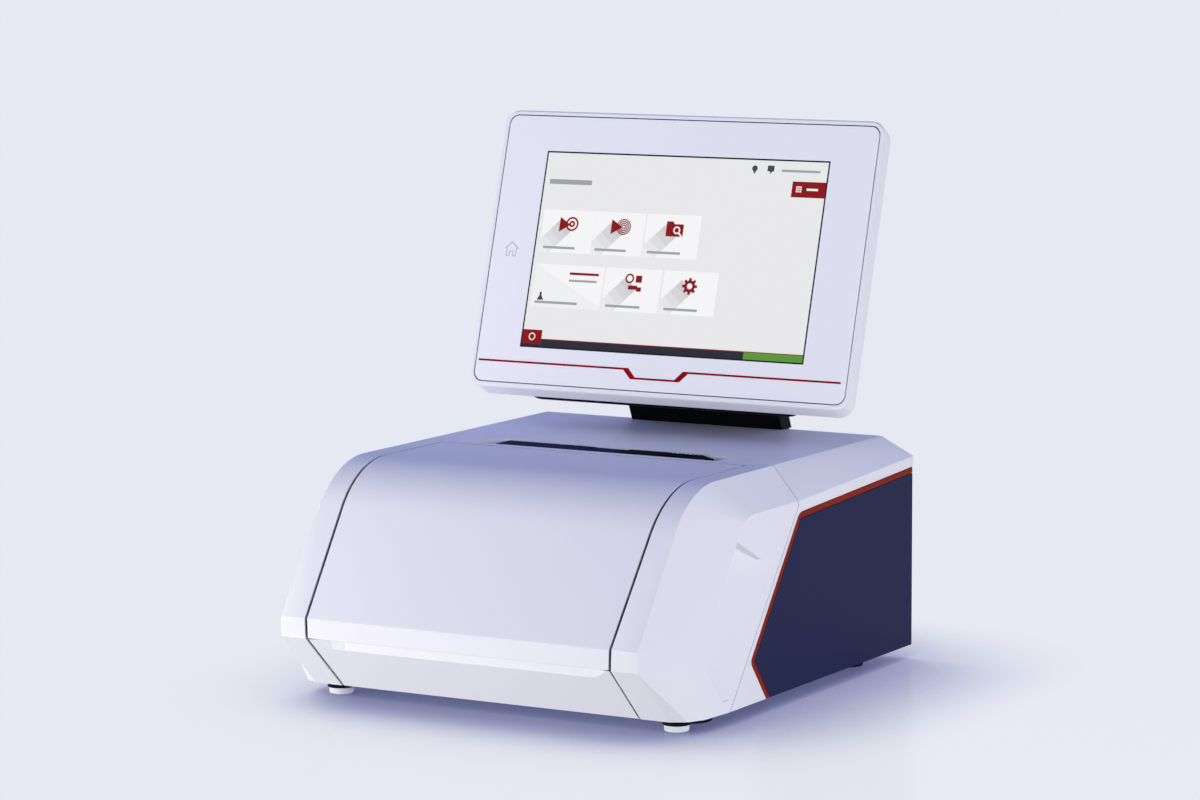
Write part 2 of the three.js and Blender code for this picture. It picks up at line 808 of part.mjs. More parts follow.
// Lid: a curved skin with flanges down its sides and a return under its lip
const lidRearY = seamY - lidRearSetback;
const lidBottom = lipBottom + fit;
const lidRange = block(-half, half, front - overrun, lidRearY, lidBottom, highest);
function sampleLid() {
  const skin = browSkin(0, lidThickness, true).intersect(lidWedge(-lidGap, lidRearY));
  const sides = lidWedge(-lidGap, lidRearY).subtract(lidWedge(-lidGap - lidThickness, lidRearY));
  const flanges = browSkin(0, lidFlangeDepth, true).intersect(sides);
  const lip = block(-half, half, front, front + lidLipReturn, lidBottom, lidBottom + lidThickness);
  const lipReturn = lip.intersect(browBulk(0)).intersect(lidWedge(-lidGap, lidRearY));
  return joined(skin, flanges, lipReturn).intersect(lidRange);
}

const hingeY = seamY - hingeSetback;
const hingeZ = bodyHeight - hingeDrop;
const hingeX = lidHalfWidthFoot - hingeInset;
const armInset = lidThickness + fit;
const linerRear = hingeY - hingeArmReach - linerGap;
const linerOuter = lidThickness + linerGap;
const linerInner = linerOuter + linerThickness;
function lidLiner() {
  const lowEnd = lidBottom + lidThickness + fit;
  const range = block(-half, half, front, linerRear, lowEnd, highest);
  const width = lidWedge(-lidGap - lidThickness - fit, linerRear);
  return browSkin(linerOuter, linerInner, true).intersect(width).intersect(range);
}
const chamberRange = (margin, low) =>
  block(
    -chamberHalfWidth - margin,
    chamberHalfWidth + margin,
    chamberFrontY - margin,
    chamberRearY + margin,
    low,
    highest,
  );
function lidSeal() {
  const ring = chamberRange(sealWidth / 2, lowest).subtract(chamberRange(-sealWidth / 2, lowest));
  return browSkin(linerInner + fit, rimInset - fit, true).intersect(ring);
}

const boreRadius = hingePinRadius + hingeClearance;
const hingeCentre = [hingeY, hingeZ];
function hingeArm() {
  const [x0, x1] = [hingeX - knuckleLength / 2, hingeX + knuckleLength / 2];
  const arm = browSkin(armInset, armInset + hingeArmThickness).intersect(
    block(x0, x1, hingeY - hingeArmReach, hingeY, lowest, highest),
  );
  const knuckle = bar("x", hingeCentre, boreRadius + knuckleWall, x0, x1).intersect(browBulk(armInset));
  return joined(arm, knuckle).subtract(bar("x", hingeCentre, boreRadius, x0 - overrun, x1 + overrun));
}
const troughTop = bodyHeight - linerInset;
const earRadius = hingeDrop - lidThickness - 2 * fit;
function hingeBracket() {
  const ears = [-1, 1].map((way) => {
    const near = hingeX + way * (knuckleLength / 2 + fit);
    const [x0, x1] = [near, near + way * bracketThickness].sort((a, b) => a - b);
    return joined(
      bar("x", hingeCentre, earRadius, x0, x1),
      block(x0, x1, hingeY - earRadius, hingeY + earRadius, troughTop + fit, hingeZ),
    );
  });
  const reach = knuckleLength / 2 + fit + bracketThickness;
  const foot = block(
    hingeX - reach,
    hingeX + reach,
    hingeY - bracketFoot / 2,
    hingeY + bracketFoot / 2,
    troughTop + fit,
    troughTop + fit + compartmentThickness,
  );
  const bore = bar("x", hingeCentre, boreRadius, hingeX - 2 * reach, hingeX + 2 * reach);
  return joined(...ears, foot).subtract(bore);
}
const hingePin = () =>
  bar("x", hingeCentre, hingePinRadius, hingeX - hingePinLength / 2, hingeX + hingePinLength / 2);

// Compartment liner: the inner face that shows when the lid is up, open over the sample chamber
function compartmentLiner() {
  const low = lipBottom - fit - wall - compartmentThickness;
  const range = block(-half, half, front, seamY - fit, low, highest);
  return browSkin(linerInset, linerInset + compartmentThickness, true)
    .intersect(lidWedge(-lidGap, seamY))
    .intersect(range)
    .subtract(chamberRange(fit, lowest));
}

const beamCentre = [beamY, beamHeight];
function sampleChamber() {
  const outer = chamberRange(0, chamberFloor).intersect(browBulk(rimInset, true));
  const inner = chamberRange(-chamberWall, chamberFloor + chamberWall);
  const ports = bar("x", beamCentre, beamRadius, -half, half);
  const bossX = chamberHalfWidth - 2 * bossRadius;
  const bosses = [-1, 1].flatMap((a) =>
    [benchFront + 2 * bossRadius, chamberRearY - 2 * bossRadius].map((y) =>
      bar("z", [a * bossX, y], bossRadius, benchTop + fit, chamberFloor + chamberWall / 2, roundSteps / 2),
    ),
  );
  return joined(outer.subtract(inner), ...bosses).subtract(ports);
}
const ringX = chamberHalfWidth + fit;
const windowRadius = beamRadius - fit;
function windowFrame() {
  const outer = bar("x", beamCentre, beamRadius + windowRing, ringX, ringX + windowThickness);
  return outer.subtract(bar("x", beamCentre, beamRadius, ringX - overrun, ringX + 2 * overrun));
}
const irWindow = () => bar("x", beamCentre, windowRadius, ringX, ringX + windowThickness);

function cellHolder() {
  const [y0, y1] = [beamY - holderDepth / 2, beamY + holderDepth / 2];
  const low = chamberFloor + chamberWall + fit;
  const base = block(-holderWidth / 2, holderWidth / 2, y0, y1, low, low + holderHeight);
  const slot = cellThickness / 2 + fit;
  const frames = [-1, 1].map((way) => {
    const [x0, x1] = [way * slot, way * (slot + chamberWall)].sort((a, b) => a - b);
    return block(x0, x1, beamY - cellWidth / 2, beamY + cellWidth / 2, low, beamHeight + cellHeadroom);
  });
  return joined(base, ...frames).subtract(bar("x", beamCentre, beamRadius, -half, half));
}

// What lies in the deck's recess: a ribbed guide for hoses on the right, a cover strip on the left
const [inlayFront, inlayRear] = [seamY + 2 * fit, recessRearY - inlayRearGap];
const inlayHalf = recessFloorHalf + inlayOverhang;
const inlayLow = bodyHeight - inlayThickness;
// A plate just under the deck's level from x0 to x1, on a foot that stands on the recess's floor
function inlay(x0, x1, drop) {
  const [foot0, foot1] = [Math.max(x0, -recessFloorHalf + fit), Math.min(x1, recessFloorHalf - fit)];
  return joined(
    block(x0, x1, inlayFront, inlayRear, inlayLow, bodyHeight - drop),
    block(foot0, foot1, inlayFront + wall, inlayRear - wall, recessFloor + fit, inlayLow + fit),
  );
}
function hoseGuide() {
  const pitch = (recessFloorHalf - ribStart) / ribCount;
  const ribs = Array.from({ length: ribCount }, (_, k) => {
    const x = ribStart + pitch * (k + 1 / 2);
    return block(x - ribWidth / 2, x + ribWidth / 2, inlayFront, inlayRear, inlayLow, bodyHeight - ribDrop);
  });
  return joined(inlay(guideStart, inlayHalf, guideDrop), ...ribs);
}
function slotCover() {
  return joined(
    inlay(-inlayHalf, coverStep, coverDrop),
    inlay(coverStep - fit, guideStart - fit, coverStepDrop),
  );
}

// Base plate, cut to the inside of the front frame and the rear cover
function basePlate() {
  const inside = joined(
    frontBulk(wall + fit, overrun, lowest),
    rearBulk(wall + fit, pocket + wall + fit, wall + fit, -overrun, lowest),
  );
  const plateHalf = half - pocket - wall - fit;
  const plateRear = rear - rearPanelSink - rearPanelThickness - fit;
  return block(-plateHalf, plateHalf, plateFront, plateRear, 0, wall).intersect(inside);
}

// Feet and bumpers, under the base plate
const footTop = -fit;
function frontFoot() {
  const pad = bar("z", [frontFootX, frontFootY], footRadius, -footHeight, -footHeight + footPadHeight);
  const stem = bar("z", [frontFootX, frontFootY], footRadius / 2, -footHeight + footPadHeight / 2, footTop);
  return joined(pad, stem);
}
function footCollar() {
  const low = -footHeight + footPadHeight + fit;
  return bar("z", [frontFootX, frontFootY], footCollarRadius, low, footTop).subtract(
    bar("z", [frontFootX, frontFootY], footRadius / 2 + fit, low - overrun, footTop + overrun),
  );
}
const rearFoot = () => bar("z", [rearFootX, rearFootY], rearFootRadius, -footHeight, footTop);
const bumper = () => bar("z", [bumperX, bumperY], bumperRadius, -bumperHeight, footTop);

// Rear panel with its vents, and the sockets and switch in it
const rearFace = rear - rearPanelSink;
const socketCentre = (k) => socketX - k * socketPitch - socketWidth / 2;
const rocker = { low: portZ - rockerHeight / 2, high: portZ + rockerHeight / 2 };
function rearPanel() {
  const plateHalf = rearWindow - fit;
  const plate = block(-plateHalf, plateHalf, rearFace - rearPanelThickness, rearFace, 0, rearPanelTop - fit);
  const vents = Array.from({ length: ventCount }, (_, k) => {
    const x = (k - (ventCount - 1) / 2) * ventPitch;
    const [z0, z1] = [rearPanelTop - (3 * ventHeight) / 2, rearPanelTop - ventHeight / 2];
    return block(x - ventWidth / 2, x + ventWidth / 2, rear - rearFrame, rear, z0, z1);
  });
  const cut = (x, width, height) =>
    block(
      x - width / 2 - fit,
      x + width / 2 + fit,
      rear - rearFrame,
      rear,
      portZ - height / 2 - fit,
      portZ + height / 2 + fit,
    );
  const sockets = Array.from({ length: socketCount }, (_, k) =>
    cut(socketCentre(k), socketWidth, socketHeight),
  );
  const inlet = cut(inletX, inletWidth, inletHeight);
  const rockerHole = cut(rockerX, rockerWidth, rockerHeight);
  return plate.subtract(joined(...vents, ...sockets, inlet, rockerHole));
}

function socketBlock() {
  const [z0, z1] = [portZ - socketHeight / 2, portZ + socketHeight / 2];
  const shell = (k, inset, y0, y1) =>
    block(
      socketCentre(k) - socketWidth / 2 + inset,
      socketCentre(k) + socketWidth / 2 - inset,
      y0,
      y1,
      z0 + inset / 2,
      z1 - inset / 2,
    );
  const sockets = Array.from({ length: socketCount }, (_, k) => k);
  const shells = sockets.map((k) => shell(k, 0, rear - socketDepth, rearFace));
  const bores = sockets.map((k) => shell(k, socketWall, rear - socketDepth + socketWall, rear));
  const carrier = block(
    socketCentre(socketCount - 1) - socketWidth / 2,
    socketCentre(0) + socketWidth / 2,
    rear - socketDepth - wall,
    rear - socketDepth + socketWall / 2,
    wall + fit,
    z1,
  );
  return joined(carrier, ...shells).subtract(joined(...bores));
}

function powerInlet() {
  const [z0, z1] = [portZ - inletHeight / 2, portZ + inletHeight / 2];
  const [x0, x1] = [inletX - inletWidth / 2, inletX + inletWidth / 2];
  const body = block(x0, x1, rear - inletDepth, rearFace + fit, z0, z1);
  const flange = block(
    x0 - inletFlange,
    x1 + inletFlange,
    rearFace + fit,
    rear - fit,
    z0 - inletFlange / 2,
    z1 + inletFlange / 2,
  );
  const lip = wall / 2;
  const bore = prism(
    "y",
    filleted(rectangle(x0 + lip, x1 - lip, z0 + lip, z1 - lip), [0, 0, inletFlange, inletFlange]),
    rear - inletDepth + wall,
    rear + overrun,
  );
  const pins = [-1, 0, 1].map((k) =>
    block(
      inletX + k * inletWidth / 4 - wall / 3,
      inletX + k * inletWidth / 4 + wall / 3,
      rear - inletDepth + wall / 2,
      rear - inletDepth / 3,
      portZ + wall / 2,
      portZ + 2 * wall,
    ),
  );
  return joined(joined(body, flange).subtract(bore), ...pins);
}

function switchFrame() {
  const [x0, x1] = [rockerX - rockerWidth / 2, rockerX + rockerWidth / 2];
  const body = block(x0, x1, rear - 2 * rockerDepth, rearFace + fit, rocker.low, rocker.high);
  const bezel = block(
    x0 - rockerBezel,
    x1 + rockerBezel,
    rearFace + fit,
    rear - fit,
    rocker.low - rockerBezel,
    rocker.high + rockerBezel,
  );
  const lip = rockerBezel / 2;
  const bore = block(
    x0 + lip,
    x1 - lip,
    rear - rockerDepth - lip,
    rear + overrun,
    rocker.low + lip,
    rocker.high - lip,
  );
  return joined(body, bezel).subtract(bore);
}
const rockerPivotY = rearFace - rockerDepth / 2;
function powerRocker() {
  const lip = rockerBezel / 2 + fit;
  const [x0, x1] = [rockerX - rockerWidth / 2 + lip, rockerX + rockerWidth / 2 - lip];
  const reach = rockerHeight / 2 - lip - rockerPlay;
  const face = rearFace + rockerFaceProud;
  const drop = reach * Math.tan(rockerTravel / 2);
  const outline = [
    [face - drop, portZ - reach],
    [face - drop / 2, portZ],
    [face, portZ + reach],
    [rockerPivotY, portZ + reach * rockerTaperShare],
    [rockerPivotY - rockerDepth / 4, portZ],
    [rockerPivotY, portZ - reach * rockerTaperShare],
  ];
  return prism("x", outline, x0, x1);
}

// Optical bench, and what stands on it
function opticalBench() {
  const middle = (benchFront + benchRear) / 2;
  const outline = roundedRectangle(2 * benchHalfWidth, benchRear - benchFront, benchCorner, 0, middle);
  const plate = prism("z", outline, benchHeight, benchTop);
  const legX = benchHalfWidth - 2 * legRadius;
  const legs = [-1, 1].flatMap((a) =>
    [benchFront + 2 * legRadius, benchRear - 2 * legRadius].map((y) =>
      bar("z", [a * legX, y], legRadius, wall + fit, benchHeight + fit, roundSteps / 2),
    ),
  );
  return joined(plate, ...legs);
}

// A mirror or a splitter on its pedestal, facing +y, with its middle over the origin.
function mirrorMount(thickness, bored) {
  const blank = bar("y", [0, beamHeight], mirrorSize / 2, -thickness / 2, thickness / 2);
  const arm = mirrorSize / 2 + wall;
  const [y0, y1] = [-thickness / 2, thickness / 2 - fit];
  const frame = block(-arm, arm, y0 - wall, y1, beamHeight - arm, beamHeight + wall);
  const foot = block(-arm, arm, -thickness, thickness, benchTop + fit, benchTop + fit + 2 * wall);
  const stem = block(-arm / 2, arm / 2, y0, y1, benchTop + fit, beamHeight - arm / 2);
  const whole = joined(frame, foot, stem, blank);
  const bore = bar("y", [0, beamHeight], mirrorSize * splitterBoreShare, -bodyWidth, bodyWidth);
  return bored ? whole.subtract(bore) : whole;
}

function irSource() {
  const shell = bar("y", [sourceX, beamHeight], sourceRadius, sourceY - sourceRadius, sourceY + sourceRadius);
  const port = bar("y", [sourceX, beamHeight], beamRadius / 2, sourceY - 2 * sourceRadius, sourceY);
  const fins = [-1, 0, 1].map((k) =>
    bar(
      "y",
      [sourceX, beamHeight],
      sourceRadius + wall,
      sourceY + k * 2 * wall - wall / 2,
      sourceY + k * 2 * wall + wall / 2,
    ),
  );
  const stem = block(
    sourceX - sourceRadius / 2,
    sourceX + sourceRadius / 2,
    sourceY - sourceRadius,
    sourceY + sourceRadius,
    benchTop + fit,
    beamHeight,
  );
  return joined(shell, stem, ...fins).subtract(port);
}

function movingMirror() {
  const centre = [-opticsX, beamHeight];
  const blank = bar("y", centre, mirrorSize / 2 - wall, scanY - scanMirrorThickness, scanY);
  const shaft = bar("y", centre, shaftRadius, scanY - fit, scanY + shaftLength, roundSteps / 2);
  return joined(blank, shaft);
}
function mirrorDrive() {
  const y0 = scanY + scanTravel + wall;
  const centre = [-opticsX, beamHeight];
  const shell = bar("y", centre, driveRadius, y0, y0 + driveLength);
  const [x0, x1] = [-opticsX - driveRadius / 2, -opticsX + driveRadius / 2];
  const stem = block(x0, x1, y0, y0 + driveLength, benchTop + fit, beamHeight);
  const bore = bar("y", centre, shaftRadius + fit, y0 - overrun, y0 + driveLength - wall, roundSteps / 2);
  return joined(shell, stem).subtract(bore);
}

function detector() {
  const centre = [opticsX, beamHeight];
  const y1 = detectorY + detectorLength;
  const can = bar("y", centre, detectorRadius, detectorY, y1);
  const nose = bar("y", centre, detectorRadius / 2, detectorY - wall, detectorY + wall);
  const stem = block(
    opticsX - detectorRadius / 2,
    opticsX + detectorRadius / 2,
    detectorY + wall,
    y1 - wall,
    benchTop + fit,
    beamHeight,
  );
  return joined(can, nose, stem);
}

function referenceLaser() {
  const tube = bar("x", [laserY, beamHeight], laserRadius, laserStart, laserStart + laserLength);
  const cradle = block(
    laserStart + wall,
    laserStart + laserLength - wall,
    laserY - laserRadius,
    laserY + laserRadius,
    benchTop + fit,
    beamHeight - laserRadius / 2,
  );
  return joined(tube, cradle);
}

function desiccantCartridge() {
  const centre = [cartridgeX, cartridgeY];
  const can = bar("z", centre, cartridgeRadius, benchTop + fit, benchTop + cartridgeHeight);
  const knob = bar("z", centre, cartridgeRadius / 3, benchTop + wall, benchTop + cartridgeHeight + 2 * wall);
  return joined(can, knob);
}

// Electronics, on the base plate behind the bench
function mainBoard() {
  const boardLeft = boardRight - boardWidth;
  const board = block(boardLeft, boardRight, boardY, boardY + boardThickness, wall + fit, wall + boardHeight);
  const chips = [1, 2, 3].map((k) =>
    block(
      boardRight - (boardWidth * k) / 4 - chipSize,
      boardRight - (boardWidth * k) / 4 + chipSize,
      boardY - 2 * boardThickness,
      boardY + boardThickness / 2,
      boardHeight / 2 - chipSize,
      boardHeight / 2 + chipSize,
    ),
  );
  return joined(board, ...chips);
}
function powerSupply() {
  const x0 = boardRight + 2 * wall;
  const y1 = rear - inletDepth - wall;
  return block(x0, x0 + supplyWidth, y1 - supplyDepth, y1, wall + fit, wall + supplyHeight);
}

// Neck: it rises through the deck and leans forward to the tilt hinge
const tiltCentre = [tiltAxisY, tiltAxisZ];
const tiltBore = tiltPinRadius + tiltClearance;
const barrelHalf = neckWidth / 2 - tiltEarInset - tiltEarWidth - fit;
function neckBracket() {
  const low = bodyHeight - neckSink;
  const foot = prism("z", neckOutline(0), low, bodyHeight + fit);
  const lean = (z) => -(z - bodyHeight) * Math.tan(neckLean);
  const side = [
    [neckFrontY, bodyHeight],
    [neckFrontY + neckThickness, bodyHeight],
    [neckFrontY + neckThickness + lean(tiltAxisZ), tiltAxisZ],
    [neckFrontY + lean(tiltAxisZ), tiltAxisZ],
  ];
  const arm = prism("x", side, -neckWidth / 2, neckWidth / 2);
  const barrel = bar("x", tiltCentre, tiltBarrelRadius, -barrelHalf, barrelHalf);
  const clear = tiltBarrelRadius + 2 * wall;
  const ears = [-1, 1].map((way) => {
    const [x0, x1] = [way * barrelHalf, way * neckWidth].sort((a, b) => a - b);
    return joined(
      bar("x", tiltCentre, clear, x0, x1),
      block(x0, x1, tiltAxisY - 2 * clear, tiltAxisY + 2 * clear, tiltAxisZ, tiltAxisZ + 2 * clear),
    );
  });
  const post = block(
    -neckPostWidth / 2,
    neckPostWidth / 2,
    neckFrontY + (neckThickness - neckPostDepth) / 2,
    neckFrontY + (neckThickness + neckPostDepth) / 2,
    wall + fit,
    low + fit,
  );
  return joined(joined(arm, barrel).subtract(joined(...ears)), foot, post).subtract(
    bar("x", tiltCentre, tiltBore, -neckWidth, neckWidth),
  );
}
const tiltPin = () => bar("x", tiltCentre, tiltPinRadius, -neckWidth / 2, neckWidth / 2);

// Display, in its own frame: x along the face, y into it, z up the face, the origin at the face's middle
const faceOutline = (width, height, radius) => roundedRectangle(width, height, radius, 0, faceRaise);
function faceLoop(inset, y) {
  const outline = faceOutline(displayWidth - 2 * inset, displayHeight - 2 * inset, displayCorner - inset);
  return outline.map(([x, z]) => [x, y, z]);
}
// The shell's rear edge: drawn in at the sides and the top, and lower than the face at the foot
function shellRearLoop() {
  const height = displayHeight + chinDrop - shellTaper;
  const middle = faceRaise - (chinDrop + shellTaper) / 2;
  const outline = roundedRectangle(displayWidth - 2 * shellTaper, height, displayCorner, 0, middle);
  return outline.map(([x, z]) => [x, shellDepth, z]);
}
const faceward = ([x, , z]) => [x, z];
function screenOutline(margin) {
  const [reachX, reachZ] = [screenWidth / 2 + margin, screenHeight / 2 + margin];
  return rectangle(-reachX, reachX, screenRaise - reachZ, screenRaise + reachZ);
}
const backFoot = faceRaise - displayHeight / 2 - chinDrop + fit;
const backPlane = shellDepth + fit + backDepth;
function displayShell() {
  const outer = loft([faceLoop(rimRound, 0), faceLoop(0, rimRound), shellRearLoop()], faceward);
  const bed = glassThickness + fit;
  const seatOutline = faceOutline(glassWidth + 2 * fit, glassHeight + 2 * fit, glassCorner);
  const seat = prism("y", seatOutline, lowest, bed);
  const hollowOutline = faceOutline(displayWidth - shellLining, displayHeight - shellLining, displayCorner / 2);
  const hollow = prism("y", hollowOutline, bed + wall, shellDepth - shellBackThickness);
  const [low, high] = [backFoot + 2 * wall, backTop - 2 * wall];
  const opening = prism(
    "y",
    rectangle(-backWidth / 2 + 2 * wall, backWidth / 2 - 2 * wall, low, high),
    bed + wall,
    shellDepth + overrun,
  );
  const window = prism("y", screenOutline(wall), lowest, bed + 2 * wall);
  return outer.subtract(seat).subtract(hollow).subtract(opening).subtract(window);
}
function displayGlass() {
  return prism("y", faceOutline(glassWidth, glassHeight, glassCorner), 0, glassThickness);
}
function displayScreen() {
  const y0 = glassThickness + fit;
  return prism("y", screenOutline(wall - fit), y0, y0 + screenThickness);
}
function displayBack() {
  const loop = (taper, y) => {
    const height = backTop - backFoot - 2 * taper;
    const middle = (backTop + backFoot) / 2;
    const outline = roundedRectangle(backWidth - 2 * taper, height, displayCorner, 0, middle);
    return outline.map(([x, z]) => [x, y, z]);
  };
  const knee = shellDepth + wall;
  const whole = loft([loop(0, shellDepth + fit), loop(0, knee), loop(backTaper, backPlane)], faceward);
  const inner = loft(
    [loop(wall, shellDepth - overrun), loop(wall, knee), loop(backTaper + wall, backPlane - wall)],
    faceward,
  );
  const slots = Array.from({ length: ventCount }, (_, k) => {
    const x = (k - (ventCount - 1) / 2) * ventPitch;
    const [x0, x1] = [x - ventWidth / 2, x + ventWidth / 2];
    return block(x0, x1, backPlane - 2 * wall, backPlane + overrun, 0, ventHeight);
  });
  return whole.subtract(inner).subtract(joined(...slots));
}
const [sinTilt, cosTilt] = [Math.sin(displayTilt), Math.cos(displayTilt)];
const axisIn = {
  y: (tiltAxisY - displayY) * cosTilt - (tiltAxisZ - displayZ) * sinTilt,
  z: (tiltAxisY - displayY) * sinTilt + (tiltAxisZ - displayZ) * cosTilt,
};
function displayHinge() {
  const y0 = backPlane + fit;
  const centre = [axisIn.y, axisIn.z];
  const reach = 2 * tiltBarrelRadius;
  const plate = block(-neckWidth / 2, neckWidth / 2, y0, y0 + wall, axisIn.z - reach, axisIn.z + reach);
  const ears = [-1, 1].map((way) => {
    const near = way * (neckWidth / 2 - tiltEarInset - tiltEarWidth);
    const [x0, x1] = [near, near + way * tiltEarWidth].sort((a, b) => a - b);
    return joined(
      bar("x", centre, tiltBarrelRadius, x0, x1),
      block(x0, x1, y0 + wall / 2, axisIn.y, axisIn.z - tiltBarrelRadius, axisIn.z + tiltBarrelRadius),
    );
  });
  return joined(plate, ...ears).subtract(bar("x", centre, tiltBore, -neckWidth, neckWidth));
}

// The scene graph
const part = new THREE.Group();
const body = new THREE.Group();
body.position.z = footHeight;
part.add(body);
const pair = (name, form, material) => {
  body.add(mesh(name + "_right", form, material));
  body.add(mesh(name + "_left", mirrored(form), material));
};
const add = (name, form, material) => body.add(mesh(name, form, material));

add("base_plate", basePlate(), finish.metal);
add("front_frame", frontFrame(), finish.housing);
add("rear_cover", rearCover(), finish.housing);
add("rear_panel", rearPanel(), finish.liner);
add("lower_front_panel", lowerPanel(), finish.housing);
pair("side_panel", sidePanel(), finish.panel);
pair("accent_strip", accentStrip(), finish.accent);
pair("front_foot", frontFoot(), finish.pad);
pair("foot_collar", footCollar(), finish.rubber);
pair("rear_foot", rearFoot(), finish.rubber);
pair("bumper", bumper(), finish.rubber);

add("sample_lid", sampleLid(), finish.housing);
add("lid_liner", lidLiner(), finish.liner);
add("lid_seal", lidSeal(), finish.rubber);
pair("lid_hinge_arm", hingeArm(), finish.metal);
pair("lid_hinge_bracket", hingeBracket(), finish.metal);
pair("lid_hinge_pin", hingePin(), finish.steel);

add("compartment_liner", compartmentLiner(), finish.liner);
add("sample_chamber", sampleChamber(), finish.chamber);
pair("window_ring", windowFrame(), finish.metal);
pair("ir_window", irWindow(), finish.crystal);
add("cell_holder", cellHolder(), finish.metal);
add("hose_guide", hoseGuide(), finish.black);
add("slot_cover", slotCover(), finish.panel);

const place = (name, form, material, x, y, turn) => {
  const piece = mesh(name, form, material);
  piece.position.set(x, y, 0);
  piece.rotation.z = turn;
  body.add(piece);
};
const eighth = Math.PI / 4;
add("optical_bench", opticalBench(), finish.metal);
place("focusing_mirror", mirrorMount(mirrorThickness), finish.mirror, -opticsX, beamY, -eighth);
place("collecting_mirror", mirrorMount(mirrorThickness), finish.mirror, opticsX, beamY, eighth);
place("collimating_mirror", mirrorMount(mirrorThickness), finish.mirror, sourceX, splitterY, eighth);
place("beam_splitter", mirrorMount(mirrorThickness / 2, true), finish.crystal, -opticsX, splitterY, -eighth);
place("fixed_mirror", mirrorMount(mirrorThickness / 2), finish.mirror, -fixedMirrorX, splitterY, -2 * eighth);
add("moving_mirror", movingMirror(), finish.mirror);
add("mirror_drive", mirrorDrive(), finish.chamber);
add("ir_source", irSource(), finish.metal);
add("detector", detector(), finish.steel);
add("reference_laser", referenceLaser(), finish.steel);
add("desiccant_cartridge", desiccantCartridge(), finish.liner);
add("main_board", mainBoard(), finish.board);
add("power_supply", powerSupply(), finish.metal);

add("power_inlet", powerInlet(), finish.black);
add("switch_frame", switchFrame(), finish.black);
add("power_rocker", powerRocker(), finish.black);
add("socket_block", socketBlock(), finish.steel);

add("neck_bracket", neckBracket(), finish.black);
add("tilt_pin", tiltPin(), finish.steel);
const display = new THREE.Group();
display.position.set(0, displayY, displayZ);
display.rotation.x = -displayTilt;
body.add(display);
display.add(mesh("display_shell", displayShell(), finish.housing));
display.add(mesh("display_glass", displayGlass(), finish.glass));
display.add(mesh("display_screen", displayScreen(), finish.screen));
display.add(mesh("display_back", displayBack(), finish.black));
display.add(mesh("display_hinge", displayHinge(), finish.steel));

export default part;
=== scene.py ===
"""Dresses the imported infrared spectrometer: moulded shells, optics, display picture, stage and camera."""

import json
import math

import bmesh
import bpy
import numpy as np
from bpy.props import FloatProperty, FloatVectorProperty, PointerProperty
from mathutils import Matrix, Vector

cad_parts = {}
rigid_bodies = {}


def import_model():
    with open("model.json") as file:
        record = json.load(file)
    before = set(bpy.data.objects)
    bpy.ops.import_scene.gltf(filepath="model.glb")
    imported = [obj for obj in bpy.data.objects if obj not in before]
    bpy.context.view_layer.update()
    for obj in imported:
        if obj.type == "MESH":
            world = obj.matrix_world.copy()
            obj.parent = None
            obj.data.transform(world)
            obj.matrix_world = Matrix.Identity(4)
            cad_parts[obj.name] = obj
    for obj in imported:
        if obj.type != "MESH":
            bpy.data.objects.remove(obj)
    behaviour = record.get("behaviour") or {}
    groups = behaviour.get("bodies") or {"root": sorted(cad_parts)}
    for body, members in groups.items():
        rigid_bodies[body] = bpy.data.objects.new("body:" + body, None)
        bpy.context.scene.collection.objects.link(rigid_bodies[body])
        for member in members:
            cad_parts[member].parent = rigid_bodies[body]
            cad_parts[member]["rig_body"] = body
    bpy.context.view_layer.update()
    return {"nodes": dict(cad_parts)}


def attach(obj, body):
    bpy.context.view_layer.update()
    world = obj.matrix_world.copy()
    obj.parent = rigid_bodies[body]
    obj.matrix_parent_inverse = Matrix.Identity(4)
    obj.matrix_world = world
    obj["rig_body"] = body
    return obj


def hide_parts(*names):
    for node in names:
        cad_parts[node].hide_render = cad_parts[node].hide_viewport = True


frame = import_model()

bl_info = {
    "name": "Infrared spectrometer",
    "version": (1, 0, 0),
    "blender": (4, 5, 0),
    "location": "3D View > Sidebar > Spectrometer",
    "description": "Builds the visible pieces of a benchtop infrared spectrometer around its packed solids",
    "category": "Add Mesh",
}

# Sizes below are in millimetres, with z from the housing's underside
MM = 0.001
FOOT = 9.5
BODY_HEIGHT = 143.5
DISPLAY_MIDDLE = (0.0, 108.3, 263.5)
DISPLAY_TILT = math.radians(16.6)


def colour_prop(name, description, default):
    """A colour of the PropertyGroup, in linear values."""
    return FloatVectorProperty(
        name=name, description=description, default=default, subtype="COLOR", size=3, min=0, max=1
    )


def length_prop(name, description, default):
    """A length of the PropertyGroup, in millimetres."""
    return FloatProperty(name=name, description=description, default=default, min=0, unit="NONE")


class SpectrometerColours(bpy.types.PropertyGroup):
    """Colours of the finishes that a user would change."""

    housing: colour_prop("Housing", "White moulded housing", (0.80, 0.80, 0.83))
    bezel: colour_prop("Bezel", "Print behind the display's glass", (0.82, 0.83, 0.87))
    panel: colour_prop("Side panel", "Dark side panels", (0.011, 0.015, 0.060))
    accent: colour_prop("Accent", "Strip round the side panels", (0.235, 0.016, 0.005))
    red: colour_prop("Red", "Red print on the display's border", (0.27, 0.003, 0.003))
    black: colour_prop("Black", "Neck, back and sockets", (0.003, 0.003, 0.005))
    gold: colour_prop("Gold", "Coating of the mirrors", (0.83, 0.62, 0.28))
    background: colour_prop("Background", "Floor and backdrop", (0.792, 0.815, 0.888))


